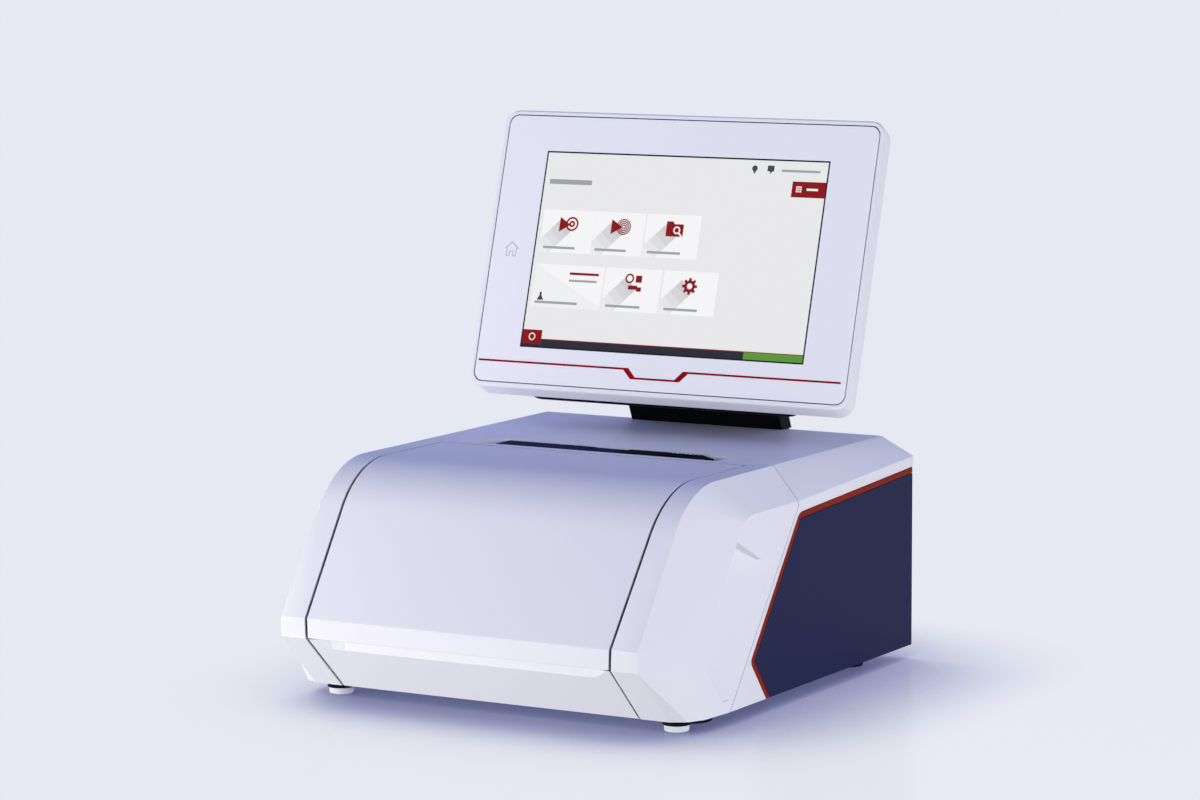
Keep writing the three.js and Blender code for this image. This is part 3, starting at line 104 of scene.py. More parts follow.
class SpectrometerSizes(bpy.types.PropertyGroup):
    """Sizes that a user would change, in millimetres."""

    grain: length_prop("Grain", "Size of the grain on the white plastic", 0.55)
    rib_pitch: length_prop("Rib pitch", "Distance from rib to rib of the black guide", 3.2)
    rib_height: length_prop("Rib height", "Height of the black guide's ribs", 0.9)
    panel_edge: length_prop("Panel edge", "Rounding of the lower front panel's edges", 0.4)


# Node helpers

# painted shade in narrow seams: how far the occlusion looks (mm), and the openness from full painted shade
# to none
CREVICE_SHADE_REACH = 5.0
CREVICE_SHADE_OPEN = (0.28, 0.48)
BROAD_SCALE = 11.0
BUMP_STRENGTH = 0.6


def add_node(tree, kind, inputs=None, **settings):
    """One shader node with its settings and socket values."""
    made = tree.nodes.new(kind)
    for key, value in settings.items():
        setattr(made, key, value)
    for key, value in (inputs or {}).items():
        made.inputs[key].default_value = value
    return made


def new_material(name):
    """An empty node material: its tree, its output and its Object coordinates."""
    material = bpy.data.materials.new(name)
    material.use_nodes = True
    tree = material.node_tree
    tree.nodes.clear()
    output = add_node(tree, "ShaderNodeOutputMaterial")
    coords = add_node(tree, "ShaderNodeTexCoord")
    return material, tree, output, coords.outputs["Object"]


def painted_crevice_shade(tree, colour, crevice_shade):
    """Painted shade: blends the colour towards a dark shade colour in narrow seams, where little of the
    near field is open.
    """
    shut, clear = CREVICE_SHADE_OPEN
    near = add_node(tree, "ShaderNodeAmbientOcclusion", {"Distance": CREVICE_SHADE_REACH * MM}, samples=8)
    bend = add_node(tree, "ShaderNodeMapRange", {"From Min": shut, "From Max": clear}, clamp=True)
    blend = add_node(tree, "ShaderNodeMix", data_type="RGBA")
    colours = [socket for socket in blend.inputs if socket.type == "RGBA"]
    colours[0].default_value = tuple(crevice_shade) + (1,)
    tree.links.new(near.outputs["AO"], bend.inputs["Value"])
    tree.links.new(bend.outputs["Result"], blend.inputs["Factor"])
    tree.links.new(colour, colours[1])
    return next(s for s in blend.outputs if s.type == "RGBA")


def finish(
    name,
    colour,
    roughness,
    grain,
    depth,
    drift,
    metallic=0.0,
    specular=0.5,
    stretch=(1, 1, 1),
    rough_span=0.06,
    emission=None,
    crevice_shade=None,
):
    """A surface finish. Fine noise of size grain (mm) gives the bump of that depth (mm) and varies the
    roughness by up to rough_span; broad noise lets the colour drift by a share of itself."""
    material, tree, output, coords = new_material(name)
    reflection = {"Metallic": metallic, "Specular IOR Level": specular}
    shader = add_node(tree, "ShaderNodeBsdfPrincipled", reflection)
    mapping = add_node(tree, "ShaderNodeMapping", {"Scale": stretch})
    fine_noise = {"Scale": 1 / (grain * MM), "Detail": 3.0, "Roughness": 0.6}
    fine = add_node(tree, "ShaderNodeTexNoise", fine_noise)
    broad = add_node(tree, "ShaderNodeTexNoise", {"Scale": BROAD_SCALE, "Detail": 2.0})
    rough_range = {"To Min": roughness - rough_span, "To Max": roughness + rough_span}
    spread = add_node(tree, "ShaderNodeMapRange", rough_range)
    dark = tuple(c * (1 - drift) for c in colour) + (1,)
    light = tuple(min(c * (1 + drift), 1) for c in colour) + (1,)
    mix = add_node(tree, "ShaderNodeMix", data_type="RGBA")
    for socket in mix.inputs:
        if socket.type == "RGBA":
            socket.default_value = dark if socket.identifier.startswith("A") else light
    bump = add_node(tree, "ShaderNodeBump", {"Strength": BUMP_STRENGTH, "Distance": depth * MM})
    tree.links.new(coords, mapping.inputs["Vector"])
    tree.links.new(mapping.outputs["Vector"], fine.inputs["Vector"])
    tree.links.new(coords, broad.inputs["Vector"])
    tree.links.new(fine.outputs["Fac"], spread.inputs["Value"])
    tree.links.new(fine.outputs["Fac"], bump.inputs["Height"])
    tree.links.new(broad.outputs["Fac"], mix.inputs["Factor"])
    blended = next(s for s in mix.outputs if s.type == "RGBA")
    # painted shade: given a shade colour, the colour is darkened in narrow seams
    if crevice_shade is not None:
        blended = painted_crevice_shade(tree, blended, crevice_shade)
    tree.links.new(blended, shader.inputs["Base Color"])
    tree.links.new(spread.outputs["Result"], shader.inputs["Roughness"])
    tree.links.new(bump.outputs["Normal"], shader.inputs["Normal"])
    if emission is not None:
        shader.inputs["Emission Color"].default_value = tuple(emission) + (1,)
        shader.inputs["Emission Strength"].default_value = 1.0
    tree.links.new(shader.outputs["BSDF"], output.inputs["Surface"])
    return material


# colour of the painted shade in the housing's seams
CREVICE_PAINTED_SHADE = (0.010, 0.012, 0.07)
RECESS_NAVY = (0.010, 0.012, 0.05)
RECESS_BLACK = (0.002, 0.002, 0.005)
ALUMINIUM = (0.60, 0.61, 0.63)
STEEL = (0.52, 0.53, 0.55)


def make_finishes(colours, sizes):
    """Every finish of the instrument, by name: colour, roughness, grain and its depth (mm), drift of the
    colour, and 1.0 for a metal."""
    return {
        "housing": finish(
            "grained_white_plastic",
            colours.housing,
            0.5,
            sizes.grain,
            0.018,
            0.015,
            specular=0.03,
            # the white housing gets painted shade in its seams
            crevice_shade=CREVICE_PAINTED_SHADE,
        ),
        "bezel": finish("printed_white_glass", colours.bezel, 0.16, 3.0, 0.004, 0.01, specular=0.4),
        "panel": finish("satin_navy_plastic", colours.panel, 0.5, 0.5, 0.02, 0.05, specular=0.06),
        "accent": finish("satin_red_brown_plastic", colours.accent, 0.5, 0.4, 0.01, 0.05, specular=0.04),
        "red": finish("red_print", colours.red, 0.4, 0.4, 0.004, 0.04, specular=0.05),
        "grey": finish("grey_print", (0.42, 0.43, 0.50), 0.35, 0.4, 0.004, 0.04),
        "black": finish("satin_black_plastic", colours.black, 0.5, 0.4, 0.015, 0.15, specular=0.04),
        "recess_navy": finish("matt_navy_plastic", RECESS_NAVY, 0.8, 0.5, 0.02, 0.1, specular=0.02),
        "recess_black": finish("matt_black_plastic", RECESS_BLACK, 0.8, 0.5, 0.02, 0.1, specular=0.02),
        "rubber": finish("matt_black_rubber", (0.006, 0.006, 0.008), 0.85, 0.35, 0.03, 0.2, specular=0.1),
        "pad": finish("pale_silicone", (0.72, 0.73, 0.78), 0.6, 0.5, 0.01, 0.03),
        "liner": finish("pale_grey_plastic", (0.45, 0.46, 0.52), 0.5, 0.5, 0.015, 0.03),
        "chamber": finish("matt_dark_coating", (0.045, 0.047, 0.058), 0.6, 0.3, 0.02, 0.12),
        "metal": finish("milled_aluminium", ALUMINIUM, 0.34, 0.3, 0.006, 0.03, 1.0, stretch=(1, 9, 1)),
        "plate": finish("sheet_zinc", (0.50, 0.52, 0.55), 0.4, 2.2, 0.004, 0.12, 1.0),
        "steel": finish("brushed_steel", STEEL, 0.3, 0.25, 0.005, 0.03, 1.0, stretch=(14, 1, 1)),
        "gold": finish("gold_mirror", colours.gold, 0.09, 4.0, 0.001, 0.02, 1.0, rough_span=0.02),
        "crystal": finish("polished_crystal", (0.86, 0.84, 0.74), 0.08, 3.0, 0.001, 0.02, rough_span=0.02),
        "board": finish("green_solder_mask", (0.012, 0.11, 0.05), 0.38, 0.8, 0.01, 0.15),
    }


# Mesh helpers

DOUBLES = 0.002
SOLID_DOUBLES = 0.003
FLAT_ANGLE = math.radians(0.4)
SHARP_ANGLE = math.radians(30)


def place_mesh(name, vertices, faces):
    """A mesh object from points in millimetres; its place is in its mesh."""
    mesh = bpy.data.meshes.new(name)
    points = np.asarray(vertices, float) * MM
    points[:, 2] += FOOT * MM
    mesh.from_pydata(points, [], faces.tolist() if isinstance(faces, np.ndarray) else faces)
    mesh.update()
    piece = bpy.data.objects.new(name, mesh)
    bpy.context.scene.collection.objects.link(piece)
    return piece


def grid_faces(rows, columns, wrap_rows=False, wrap_columns=False):
    """The four-cornered faces of a grid of points, row by row."""
    r = np.arange(rows if wrap_rows else rows - 1)
    c = np.arange(columns if wrap_columns else columns - 1)
    rr, cc = np.meshgrid(r, c, indexing="ij")
    r2, c2 = (rr + 1) % rows, (cc + 1) % columns
    quads = np.stack([rr * columns + cc, rr * columns + c2, r2 * columns + c2, r2 * columns + cc], -1)
    return quads.reshape(-1, 4)


def swept_faces(places, corners):
    """The faces of a closed profile with so many corners, carried through so many places, with its ends."""
    ends = [list(range(corners)), list(range((places - 1) * corners, places * corners))]
    return grid_faces(places, corners, False, True).tolist() + ends


def cleaned(piece):
    """Merges doubles and turns the faces outwards."""
    bm = bmesh.new()
    bm.from_mesh(piece.data)
    bmesh.ops.remove_doubles(bm, verts=bm.verts, dist=DOUBLES * MM)
    bmesh.ops.recalc_face_normals(bm, faces=bm.faces)
    bm.to_mesh(piece.data)
    bm.free()
    return piece


def rounded_edges(piece, width):
    """Rounds a finished piece's sharp edges by width (mm)."""
    bevel = piece.modifiers.new("Bevel", "BEVEL")
    bevel.width = width * MM
    bevel.segments = 2
    bevel.limit_method = "ANGLE"
    bevel.angle_limit = SHARP_ANGLE
    bevel.use_clamp_overlap = True
    bevel.harden_normals = True


def dressed(piece, material, body, slot, *nodes, shade=35):
    """Gives a finished piece its material and body, and hides the nodes that it stands for; slot is not
    used. Edges under the angle of shade (degrees) are shaded smooth."""
    piece.data.materials.append(material)
    piece.data.shade_smooth()
    piece.data.set_sharp_from_angle(angle=math.radians(shade))
    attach(piece, body)
    if nodes:
        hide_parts(*nodes)


def softened(node, width, material, slot, narrow=0.0, lift=0.0):
    """A copy of a solid with its flat faces made whole and its edges rounded by width (mm). A piece between
    two seams is narrowed at each side by a share of its distance from the middle, up to narrow (mm), and a
    piece may be raised by lift (mm)."""
    source = frame["nodes"][node]
    mesh = bpy.data.meshes.new(node + "_piece")
    bm = bmesh.new()
    bm.from_mesh(source.data)
    bmesh.ops.remove_doubles(bm, verts=bm.verts, dist=SOLID_DOUBLES * MM)
    bmesh.ops.dissolve_limit(bm, angle_limit=FLAT_ANGLE, verts=bm.verts, edges=bm.edges)
    bm.to_mesh(mesh)
    bm.free()
    points = np.empty(3 * len(mesh.vertices), np.float32)
    mesh.vertices.foreach_get("co", points)
    points[0::3] *= 1 - narrow * MM / np.abs(points[0::3]).max()
    points[2::3] += lift * MM
    mesh.vertices.foreach_set("co", points)
    piece = bpy.data.objects.new(node + "_piece", mesh)
    bpy.context.scene.collection.objects.link(piece)
    dressed(piece, material, source["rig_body"], slot, node)
    rounded_edges(piece, width)


def in_display(points):
    """Points of the display's own frame (u across, v up the face, d into it) set in the housing's frame."""
    u, v, d = np.moveaxis(np.asarray(points, float), -1, 0)
    sin, cos = math.sin(DISPLAY_TILT), math.cos(DISPLAY_TILT)
    x0, y0, z0 = DISPLAY_MIDDLE
    return np.stack([x0 + u, y0 + d * cos + v * sin, z0 - d * sin + v * cos], -1)


def slab(outline, low, high):
    """A plate with this outline between two depths: its points (u, v, d) and faces."""
    outline = np.asarray(outline, float)
    n = len(outline)
    bottom = np.column_stack([outline, np.full(n, low)])
    top = np.column_stack([outline, np.full(n, high)])
    ring = np.arange(n)
    sides = np.stack([ring, (ring + 1) % n, (ring + 1) % n + n, ring + n], -1).tolist()
    return np.vstack([bottom, top]), [list(range(n))[::-1], list(range(n, 2 * n))] + sides


def rounded(width, height, radius, raised, steps=12):
    """A rectangle's outline with round corners, raised above the middle: each corner is its centre plus
    radius times (cos, sin)."""
    turns = (np.arange(4)[:, None] + np.linspace(0, 1, steps)[None]) * math.pi / 2
    signs = np.array([[1, 1], [-1, 1], [-1, -1], [1, -1]], float)
    centres = signs * [width / 2 - radius, height / 2 - radius]
    arcs = np.stack([np.cos(turns), np.sin(turns)], -1) * radius
    return (centres[:, None] + arcs).reshape(-1, 2) + [0, raised]


def turned(name, profile, centre, steps=48):
    """A body of revolution: the closed profile of (radius, height) points is carried round an upright axis,
    so a point is the centre plus radius times (cos, sin) of the turn, at its height."""
    profile = np.asarray(profile, float)
    turns = np.linspace(0, 2 * math.pi, steps, endpoint=False)
    radius, height = profile[:, 0][None], np.broadcast_to(profile[:, 1], (steps, len(profile)))
    across, along = radius * np.cos(turns)[:, None], radius * np.sin(turns)[:, None]
    points = np.stack([across, along, height], -1) + np.asarray(centre, float)
    faces = grid_faces(steps, len(profile), True, True)
    return cleaned(place_mesh(name, points.reshape(-1, 3), faces))


# Pieces of the instrument

# node, rounding of its edges (mm), finish, slot, and where given how far it is narrowed and raised (mm);
# a name that ends with _ stands for the right and the left piece
SOFTENED = {
    "housing": [
        ("front_frame", 0.7, "housing", "housing"),
        ("rear_cover", 0.9, "housing", "housing"),
        ("base_plate", 0.4, "plate", "metal"),
        ("rear_panel", 0.3, "liner", "liner"),
    ],
    "side": [
        ("side_panel_", 0.4, "panel", "panel"),
        ("accent_strip_", 0.4, "accent", "accent"),
    ],
    "lid": [
        ("sample_lid", 0.5, "housing", "housing", 1.0),
        ("lid_liner", 0.4, "liner", "liner"),
        ("lid_seal", 0.6, "rubber", "rubber"),
        ("lid_hinge_arm_", 0.3, "metal", "metal"),
        ("lid_hinge_bracket_", 0.3, "metal", "metal"),
        ("lid_hinge_pin_", 0.3, "steel", "steel"),
    ],
    "feet": [
        ("rear_foot_", 0.8, "rubber", "rubber"),
        ("bumper_", 0.8, "rubber", "rubber"),
    ],
    "compartment": [
        ("compartment_liner", 0.5, "liner", "liner"),
        ("sample_chamber", 0.6, "chamber", "chamber"),
        ("window_ring_", 0.4, "metal", "metal"),
        ("ir_window_", 0.3, "crystal", "crystal"),
        ("cell_holder", 0.5, "metal", "metal"),
    ],
    "optics": [
        ("optical_bench", 0.8, "metal", "metal"),
        ("focusing_mirror", 0.4, "gold", "mirror"),
        ("collecting_mirror", 0.4, "gold", "mirror"),
        ("collimating_mirror", 0.4, "gold", "mirror"),
        ("fixed_mirror", 0.4, "gold", "mirror"),
        ("moving_mirror", 0.3, "gold", "mirror"),
        ("beam_splitter", 0.4, "crystal", "crystal"),
        ("mirror_drive", 0.5, "chamber", "chamber"),
        ("ir_source", 0.4, "metal", "metal"),
        ("detector", 0.5, "steel", "steel"),
        ("reference_laser", 0.4, "steel", "steel"),
        ("desiccant_cartridge", 0.6, "liner", "liner"),
    ],
    "electronics": [
        ("main_board", 0.15, "board", "board"),
        ("power_supply", 0.6, "plate", "metal"),
    ],
    "connections": [
        ("power_inlet", 0.3, "black", "black"),
        ("switch_frame", 0.4, "black", "black"),
        ("power_rocker", 0.4, "black", "black"),
        ("socket_block", 0.2, "steel", "steel"),
    ],
    "neck": [
        ("neck_bracket", 0.6, "black", "black"),
        ("tilt_pin", 0.3, "steel", "steel"),
    ],
    "display": [
        ("display_shell", 0.7, "housing", "housing"),
        ("display_back", 0.7, "black", "black", 0.0, -1.4),
        ("display_hinge", 0.5, "steel", "steel"),
    ],
}


# the lower front panel: its height, the foot of its face, how far the face runs forward for each unit of
# height, its wall, its half width at the foot and what the top is wider by
PANEL_TOP = 37.0
PANEL_FOOT_Y = -133.8
PANEL_FALL = 1.0568
PANEL_WALL = 4.4
PANEL_HALF = 109.8
PANEL_SPREAD = 1.2
PANEL_SHADE = 12
# the shelf that its top turns back into, and the finger groove: its lower edge and how far its top leans
SHELF_REAR = -153.3
SHELF_FRONT = -159.5
SHELF_THICK = 3.0
GROOVE_LOW = 30.4
GROOVE_LEAN = 0.4
# where the groove's slanting ends turn: distance from the middle, lower edge and share of the full depth
GROOVE_PLACES = np.array([[109.4, 36.9, 0.0], [97.0, 30.4, 0.57], [88.0, 30.4, 1.0]])


def add_lower_panel(finishes, edge):
    """The panel under the lid's lip. Its face runs forward by a fixed share of the height. Over the groove
    its upper part stands upright instead, and at each end the groove runs out along a slanting facet. The
    grid is the profile, carried from one side to the other."""

    def face(z):
        return PANEL_FOOT_Y - PANEL_FALL * z

    out, low, depth = GROOVE_PLACES.T
    places = np.r_[-1.0, -out, out[::-1], 1.0]
    lows = np.r_[low[0], low, low[::-1], low[0]]
    depths = np.r_[0.0, depth, depth[::-1], 0.0]
    shelf = PANEL_TOP - SHELF_THICK
    heights = [0.0, 0.0, 0.0, PANEL_TOP, PANEL_TOP, shelf, shelf]
    runs = [face(0) + PANEL_WALL, face(0), 0.0, face(PANEL_TOP), SHELF_REAR, SHELF_REAR, SHELF_FRONT]
    z = np.tile(heights, (len(places), 1))
    y = np.tile(runs, (len(places), 1))
    z[:, 2], y[:, 2] = lows, face(lows)
    y[:, 3] += depths * (face(GROOVE_LOW) + GROOVE_LEAN - face(PANEL_TOP))
    half = PANEL_HALF + PANEL_SPREAD * z / PANEL_TOP
    x = np.where(np.abs(places)[:, None] == 1, places[:, None] * half, places[:, None])
    points = np.stack([x, y, z], -1).reshape(-1, 3)
    piece = cleaned(place_mesh("lower_front_panel_piece", points, swept_faces(len(places), len(runs))))
    dressed(piece, finishes["housing"], "housing", "housing", "lower_front_panel", shade=PANEL_SHADE)
    rounded_edges(piece, edge)


# the deck's recess, and the guide in it: places along it where it starts, where its ribs start and end, and
# where it ends
RECESS_TOP = BODY_HEIGHT - 0.15
RECESS_RUN = (5.1, 25.0)
STRIP_THICK = 2.9
GUIDE_ENDS = (14.0, 45.0, 67.5, 77.0)
GUIDE_STEPS = 113
GUIDE_SLOPE = 2.2
# places along the cover, from side to side, and how far it lies below the recess's top at each
COVER_ENDS = np.array([-79.5, -12.2, -12.0, 13.7])
COVER_DROPS = np.array([0.1, 0.1, 0.5, 0.5])
COVER_EDGE = 0.15


def recess_strip(name, x, drop):
    """A strip that lies in the deck's recess, just under the deck. Its top is the drop below its level at
    each place x along it, and its underside is flat."""
    top = RECESS_TOP - drop
    low = np.full_like(x, RECESS_TOP - STRIP_THICK)
    front, rear = (np.full_like(x, y) for y in RECESS_RUN)
    rings = [np.stack([x, y, z], -1) for y, z in ((front, low), (front, top), (rear, top), (rear, low))]
    points = np.stack(rings, 1).reshape(-1, 3)
    return cleaned(place_mesh(name, points, swept_faces(len(x), len(rings))))


def add_recess_strips(finishes, pitch, height):
    """The black guide and the navy cover. The guide is flat, then ribbed as a cosine wave of that pitch and
    height, then it slopes down. The cover has a step."""
    start, ribs, slope, end = GUIDE_ENDS
    x = np.unique(np.r_[start, np.linspace(ribs, slope, GUIDE_STEPS), end])
    wave = 0.5 - 0.5 * np.cos(2 * math.pi * (x - ribs) / pitch)
    drop = np.where((x > ribs) & (x < slope), height * wave, 0.0)
    drop[-1] = GUIDE_SLOPE
    guide = recess_strip("hose_guide_piece", x, drop)
    dressed(guide, finishes["recess_black"], "housing", "black", "hose_guide")
    cover = recess_strip("slot_cover_piece", COVER_ENDS, COVER_DROPS)
    dressed(cover, finishes["recess_navy"], "housing", "panel", "slot_cover")
    rounded_edges(cover, COVER_EDGE)


FOOT_PLACE = (125.5, -113.5)
# profiles of the front feet, as radius and height above the table
PAD = [(0, 0), (6.9, 0), (7.6, 0.25), (7.95, 0.8), (7.95, 4.5), (5.8, 4.5), (5.8, 9.2), (0, 9.2)]
COLLAR = [(8.1, 4.2), (8.7, 4.2), (9.0, 4.6), (9.0, 9.2), (6.0, 9.2), (6.0, 4.8), (8.1, 4.8)]


def add_front_feet(finishes):
    """The round front feet: a pale pad with a rounded foot, in a black collar."""
    x, y = FOOT_PLACE
    for side, word in ((1, "right"), (-1, "left")):
        centre = (side * x, y, -FOOT)
        pad = turned("front_foot_piece_" + word, PAD, centre)
        dressed(pad, finishes["pad"], "housing", "pad", "front_foot_" + word)
        collar = turned("foot_collar_piece_" + word, COLLAR, centre)
        dressed(collar, finishes["rubber"], "housing", "rubber", "foot_collar_" + word)


# The display and its picture, in its own frame: (u, v) from the face's middle, v up, d below the face

SCREEN_RAISE = 1.2
SCREEN_HALF = (108.5, 68.0)
WINDOW_EDGE = 1.1
# the glass's width, height and corner radius
GLASS = (286.0, 187.7, 6.8)
GLASS_RAISE = 1.0
# inset from the glass's outline and depth below its face, round its front edge
GLASS_EDGE = ((0.0, 1.6), (0.0, 0.35), (0.1, 0.1), (0.35, 0.0), (0.8, 0.0), (1.4, 0.0))
GLASS_BACK = GLASS_EDGE[0][1]
PICTURE_FACE = -0.02
PICTURE_LAYER = 0.02
PICTURE_BACK = 0.3
RING_BACK = 0.2

PICTURE_COLOURS = {
    "page": (0.80, 0.80, 0.81),
    "tile": (0.90, 0.90, 0.91),
    "edge": (0.006, 0.006, 0.012),
    "faint": (0.855, 0.855, 0.865),
    "red": (0.25, 0.002, 0.002),
    "green": (0.10, 0.30, 0.035),
    "dark": (0.020, 0.020, 0.030),
    "ink": (0.055, 0.058, 0.085),
    "grey": (0.34, 0.35, 0.38),
}
# distance down the slant where each tone of a mark's shadow starts (mm), and its brightness
SHADE_TONES = np.array([[0.0, 0.60], [4.0, 0.66], [8.0, 0.72], [12.0, 0.78], [16.0, 0.83]])
SHADE_END = 60.0
SHADE_BLUE = 1.03
SHADE_SHIFT = (1.5, 0)
# each row of tiles: its upper and lower edge, and each tile's left edge and width
TILE_ROWS = (
    (28.0, -2.0, ((-105.5, 42.0), (-64.5, 41.0), (-23.5, 43.0))),
    (-10.5, -40.5, ((-106.0, 56.0), (-50.0, 45.0), (-4.5, 43.0))),
)
TILE_GAP = 1.2
# the tile with a faint corner and bars in place of a mark
BARRED_TILE = (1, 0)
# the place of each tile's mark, by row and column
MARK_PLACES = {
    (0, 0): (-84.5, 17.8),
    (0, 1): (-43.5, 17.8),
    (0, 2): (-1.2, 18.0),
    (1, 1): (-27.5, -20.6),
    (1, 2): (16.2, -20.6),
}
# bars of the barred tile: colour, then how far each edge lies from the tile's right and upper edge
BARRED_BARS = (("red", 27.0, 4.0, 6.6, 4.9), ("grey", 27.0, 5.0, 11.4, 9.9))
CORNER_RISE = 2.0
# each tile's bar in place of words: from the tile's left edge, share of its width, lower and upper edge
WORD_LEFT, WORD_SHARE, WORD_LOW, WORD_HIGH = 3.0, 0.6, 2.6, 4.3
# dots on the red button: the first one's corner, distance from dot to dot and size
DOT_START, DOT_PITCH, DOT_SIZE = (86.6, 47.1), 1.5, 1.1
RED_CORNER = -93.4
CORNER_RING = (-101.0, -61.4)
FOOT_BAR_TOP = -63.2
GREEN_START = 64.0
# bars and blocks outside the tiles: colour, left, right, lower and upper edge, and layer
BARS = (
    ("red", 83.4, SCREEN_HALF[0], 43.6, 54.4, 2),
    ("tile", 94.5, 103.0, 48.4, 49.9, 4),
    ("red", -SCREEN_HALF[0], RED_CORNER, -66.4, -56.6, 2),
    ("dark", -SCREEN_HALF[0], GREEN_START, -SCREEN_HALF[1], FOOT_BAR_TOP, 1),
    ("green", GREEN_START, SCREEN_HALF[0], -SCREEN_HALF[1], FOOT_BAR_TOP, 1),
    ("red", RED_CORNER, SCREEN_HALF[0], FOOT_BAR_TOP, FOOT_BAR_TOP + 0.6, 1),
    ("grey", 74.0, 103.0, 60.6, 62.2, 2),
    ("grey", -104.5, -71.0, 46.0, 49.4, 2),
)


UNLIT = (0.004, 0.004, 0.005)


def lit(name, colour):
    """The finish of a lit part of the picture: it glows in its own colour behind clear glass."""
    return finish(name, UNLIT, 0.25, 2.0, 0.001, 0.2, specular=0.1, rough_span=0.03, emission=colour)


def box_outline(u0, u1, v0, v1):
    """The outline of an upright rectangle."""
    return np.array([[u0, v0], [u1, v0], [u1, v1], [u0, v1]], float)


def ring_outline(u, v, radius, steps=28):
    """A circle's outline: centre plus radius times (cos, sin)."""
    turn = np.linspace(0, 2 * math.pi, steps, endpoint=False)
    return np.column_stack([u + radius * np.cos(turn), v + radius * np.sin(turn)])


def band(outline_out, outline_in, low, high):
    """A flat ring between two outlines with as many points each: its points (u, v, d) and faces."""
    n = len(outline_out)
    corners = ((outline_out, high), (outline_out, low), (outline_in, low), (outline_in, high))
    loops = [np.column_stack([outline, np.full(n, depth)]) for outline, depth in corners]
    return np.vstack(loops), grid_faces(4, n, True, True).tolist()


def plates(name, shapes):
    """One mesh from many flat shapes on the display's face, each (points, faces) in its frame."""
    points, faces, first = [], [], 0
    for shape_points, shape_faces in shapes:
        points.append(shape_points)
        faces += [[first + i for i in face] for face in shape_faces]
        first += len(shape_points)
    return cleaned(place_mesh(name, in_display(np.vstack(points)), faces))


def on_screen(outline, layer):
    """A flat shape of the picture, on that layer above its page: its points and faces."""
    face = PICTURE_FACE - PICTURE_LAYER * layer
    return slab(np.asarray(outline, float) + [0, SCREEN_RAISE], face, PICTURE_BACK)


def ring_on_screen(place, outer, inner, layer, steps=28):
    """A round ring of the picture, on that layer above its page: its points and faces."""
    loops = [ring_outline(place[0], place[1] + SCREEN_RAISE, radius, steps) for radius in (outer, inner)]
    return band(*loops, PICTURE_FACE - PICTURE_LAYER * layer, RING_BACK)


def picture_shapes():
    """The picture's flat shapes by colour: a light page with a red button, tiles with small marks and bars
    in place of words, and a bar along the foot."""
    half_u, half_v = SCREEN_HALF
    shades = [f"shade_{k + 1}" for k in range(len(SHADE_TONES))]
    keys = ["page", "tile", "edge", "faint", *shades, "red", "green", "dark", "ink", "grey"]
    groups = {key: [] for key in keys}
    page = box_outline(-half_u, half_u, -half_v, half_v)
    groups["page"].append(on_screen(page, 0))
    wide_u, wide_v = half_u + WINDOW_EDGE, half_v + WINDOW_EDGE
    rim = [outline + [0, SCREEN_RAISE] for outline in (box_outline(-wide_u, wide_u, -wide_v, wide_v), page)]
    groups["edge"].append(band(*rim, PICTURE_FACE - PICTURE_LAYER / 2, PICTURE_BACK))
    for row, (high, low, places) in enumerate(TILE_ROWS):
        for column, (left, width) in enumerate(places):
            right = left + width - TILE_GAP
            groups["tile"].append(on_screen(box_outline(left, right, low, high), 1))
            if (row, column) == BARRED_TILE:
                corner = [[left, high], [left, low], [right, low], [right, low + CORNER_RISE]]
                groups["faint"].append(on_screen(corner, 2))
                for key, start, end, foot, head in BARRED_BARS:
                    bar = box_outline(right - start, right - end, high - foot, high - head)
                    groups[key].append(on_screen(bar, 3))
            else:
                for shade, strip in zip(shades, long_shadow(left, low, MARK_PLACES[row, column])):
                    if len(strip) > 2:
                        groups[shade].append(on_screen(strip, 2))
            start = left + WORD_LEFT
            word = box_outline(start, start + width * WORD_SHARE, low + WORD_LOW, low + WORD_HIGH)
            groups["grey"].append(on_screen(word, 3))
    add_marks(groups["red"], groups["ink"], groups["tile"])
    for key, left, right, low, high, layer in BARS:
        groups[key].append(on_screen(box_outline(left, right, low, high), layer))
    for k in range(9):
        u, v = DOT_START[0] + DOT_PITCH * (k % 3), DOT_START[1] + DOT_PITCH * (k // 3)
        groups["tile"].append(on_screen(box_outline(u, u + DOT_SIZE, v, v + DOT_SIZE), 4))
    groups["tile"].append(ring_on_screen(CORNER_RING, 2.6, 1.9, 4, 20))
    return groups


def kept_above(outline, axis, limit):
    """The part of an outline at or above a limit of one coordinate. A side that crosses it is cut there."""
    outline = np.asarray(outline, float)
    kept = []
    for here, there in zip(outline, np.roll(outline, -1, axis=0)):
        if here[axis] >= limit:
            kept.append(here)
        if (here[axis] >= limit) != (there[axis] >= limit):
            kept.append(here + (there - here) * (limit - here[axis]) / (there[axis] - here[axis]))
    return kept


def long_shadow(left, low, place, reach=5.0):
    """The slanting shadow of a mark in strips of one tone each. A strip is the part of the band between two
    45 degree lines from one distance down the slant to the next, cut at the tile's left and lower edges."""
    start = np.subtract(place, SHADE_SHIFT)
    across = np.array([[-reach, 0.8 * reach], [0.9 * reach, -0.8 * reach]])
    strips = []
    for near, far in zip(SHADE_TONES[:, 0], [*SHADE_TONES[1:, 0], SHADE_END]):
        ends = np.vstack([across - near, across[::-1] - far]) + start
        inside = kept_above(ends, 0, left)
        strips.append(kept_above(inside, 1, low) if len(inside) > 2 else [])
    return strips


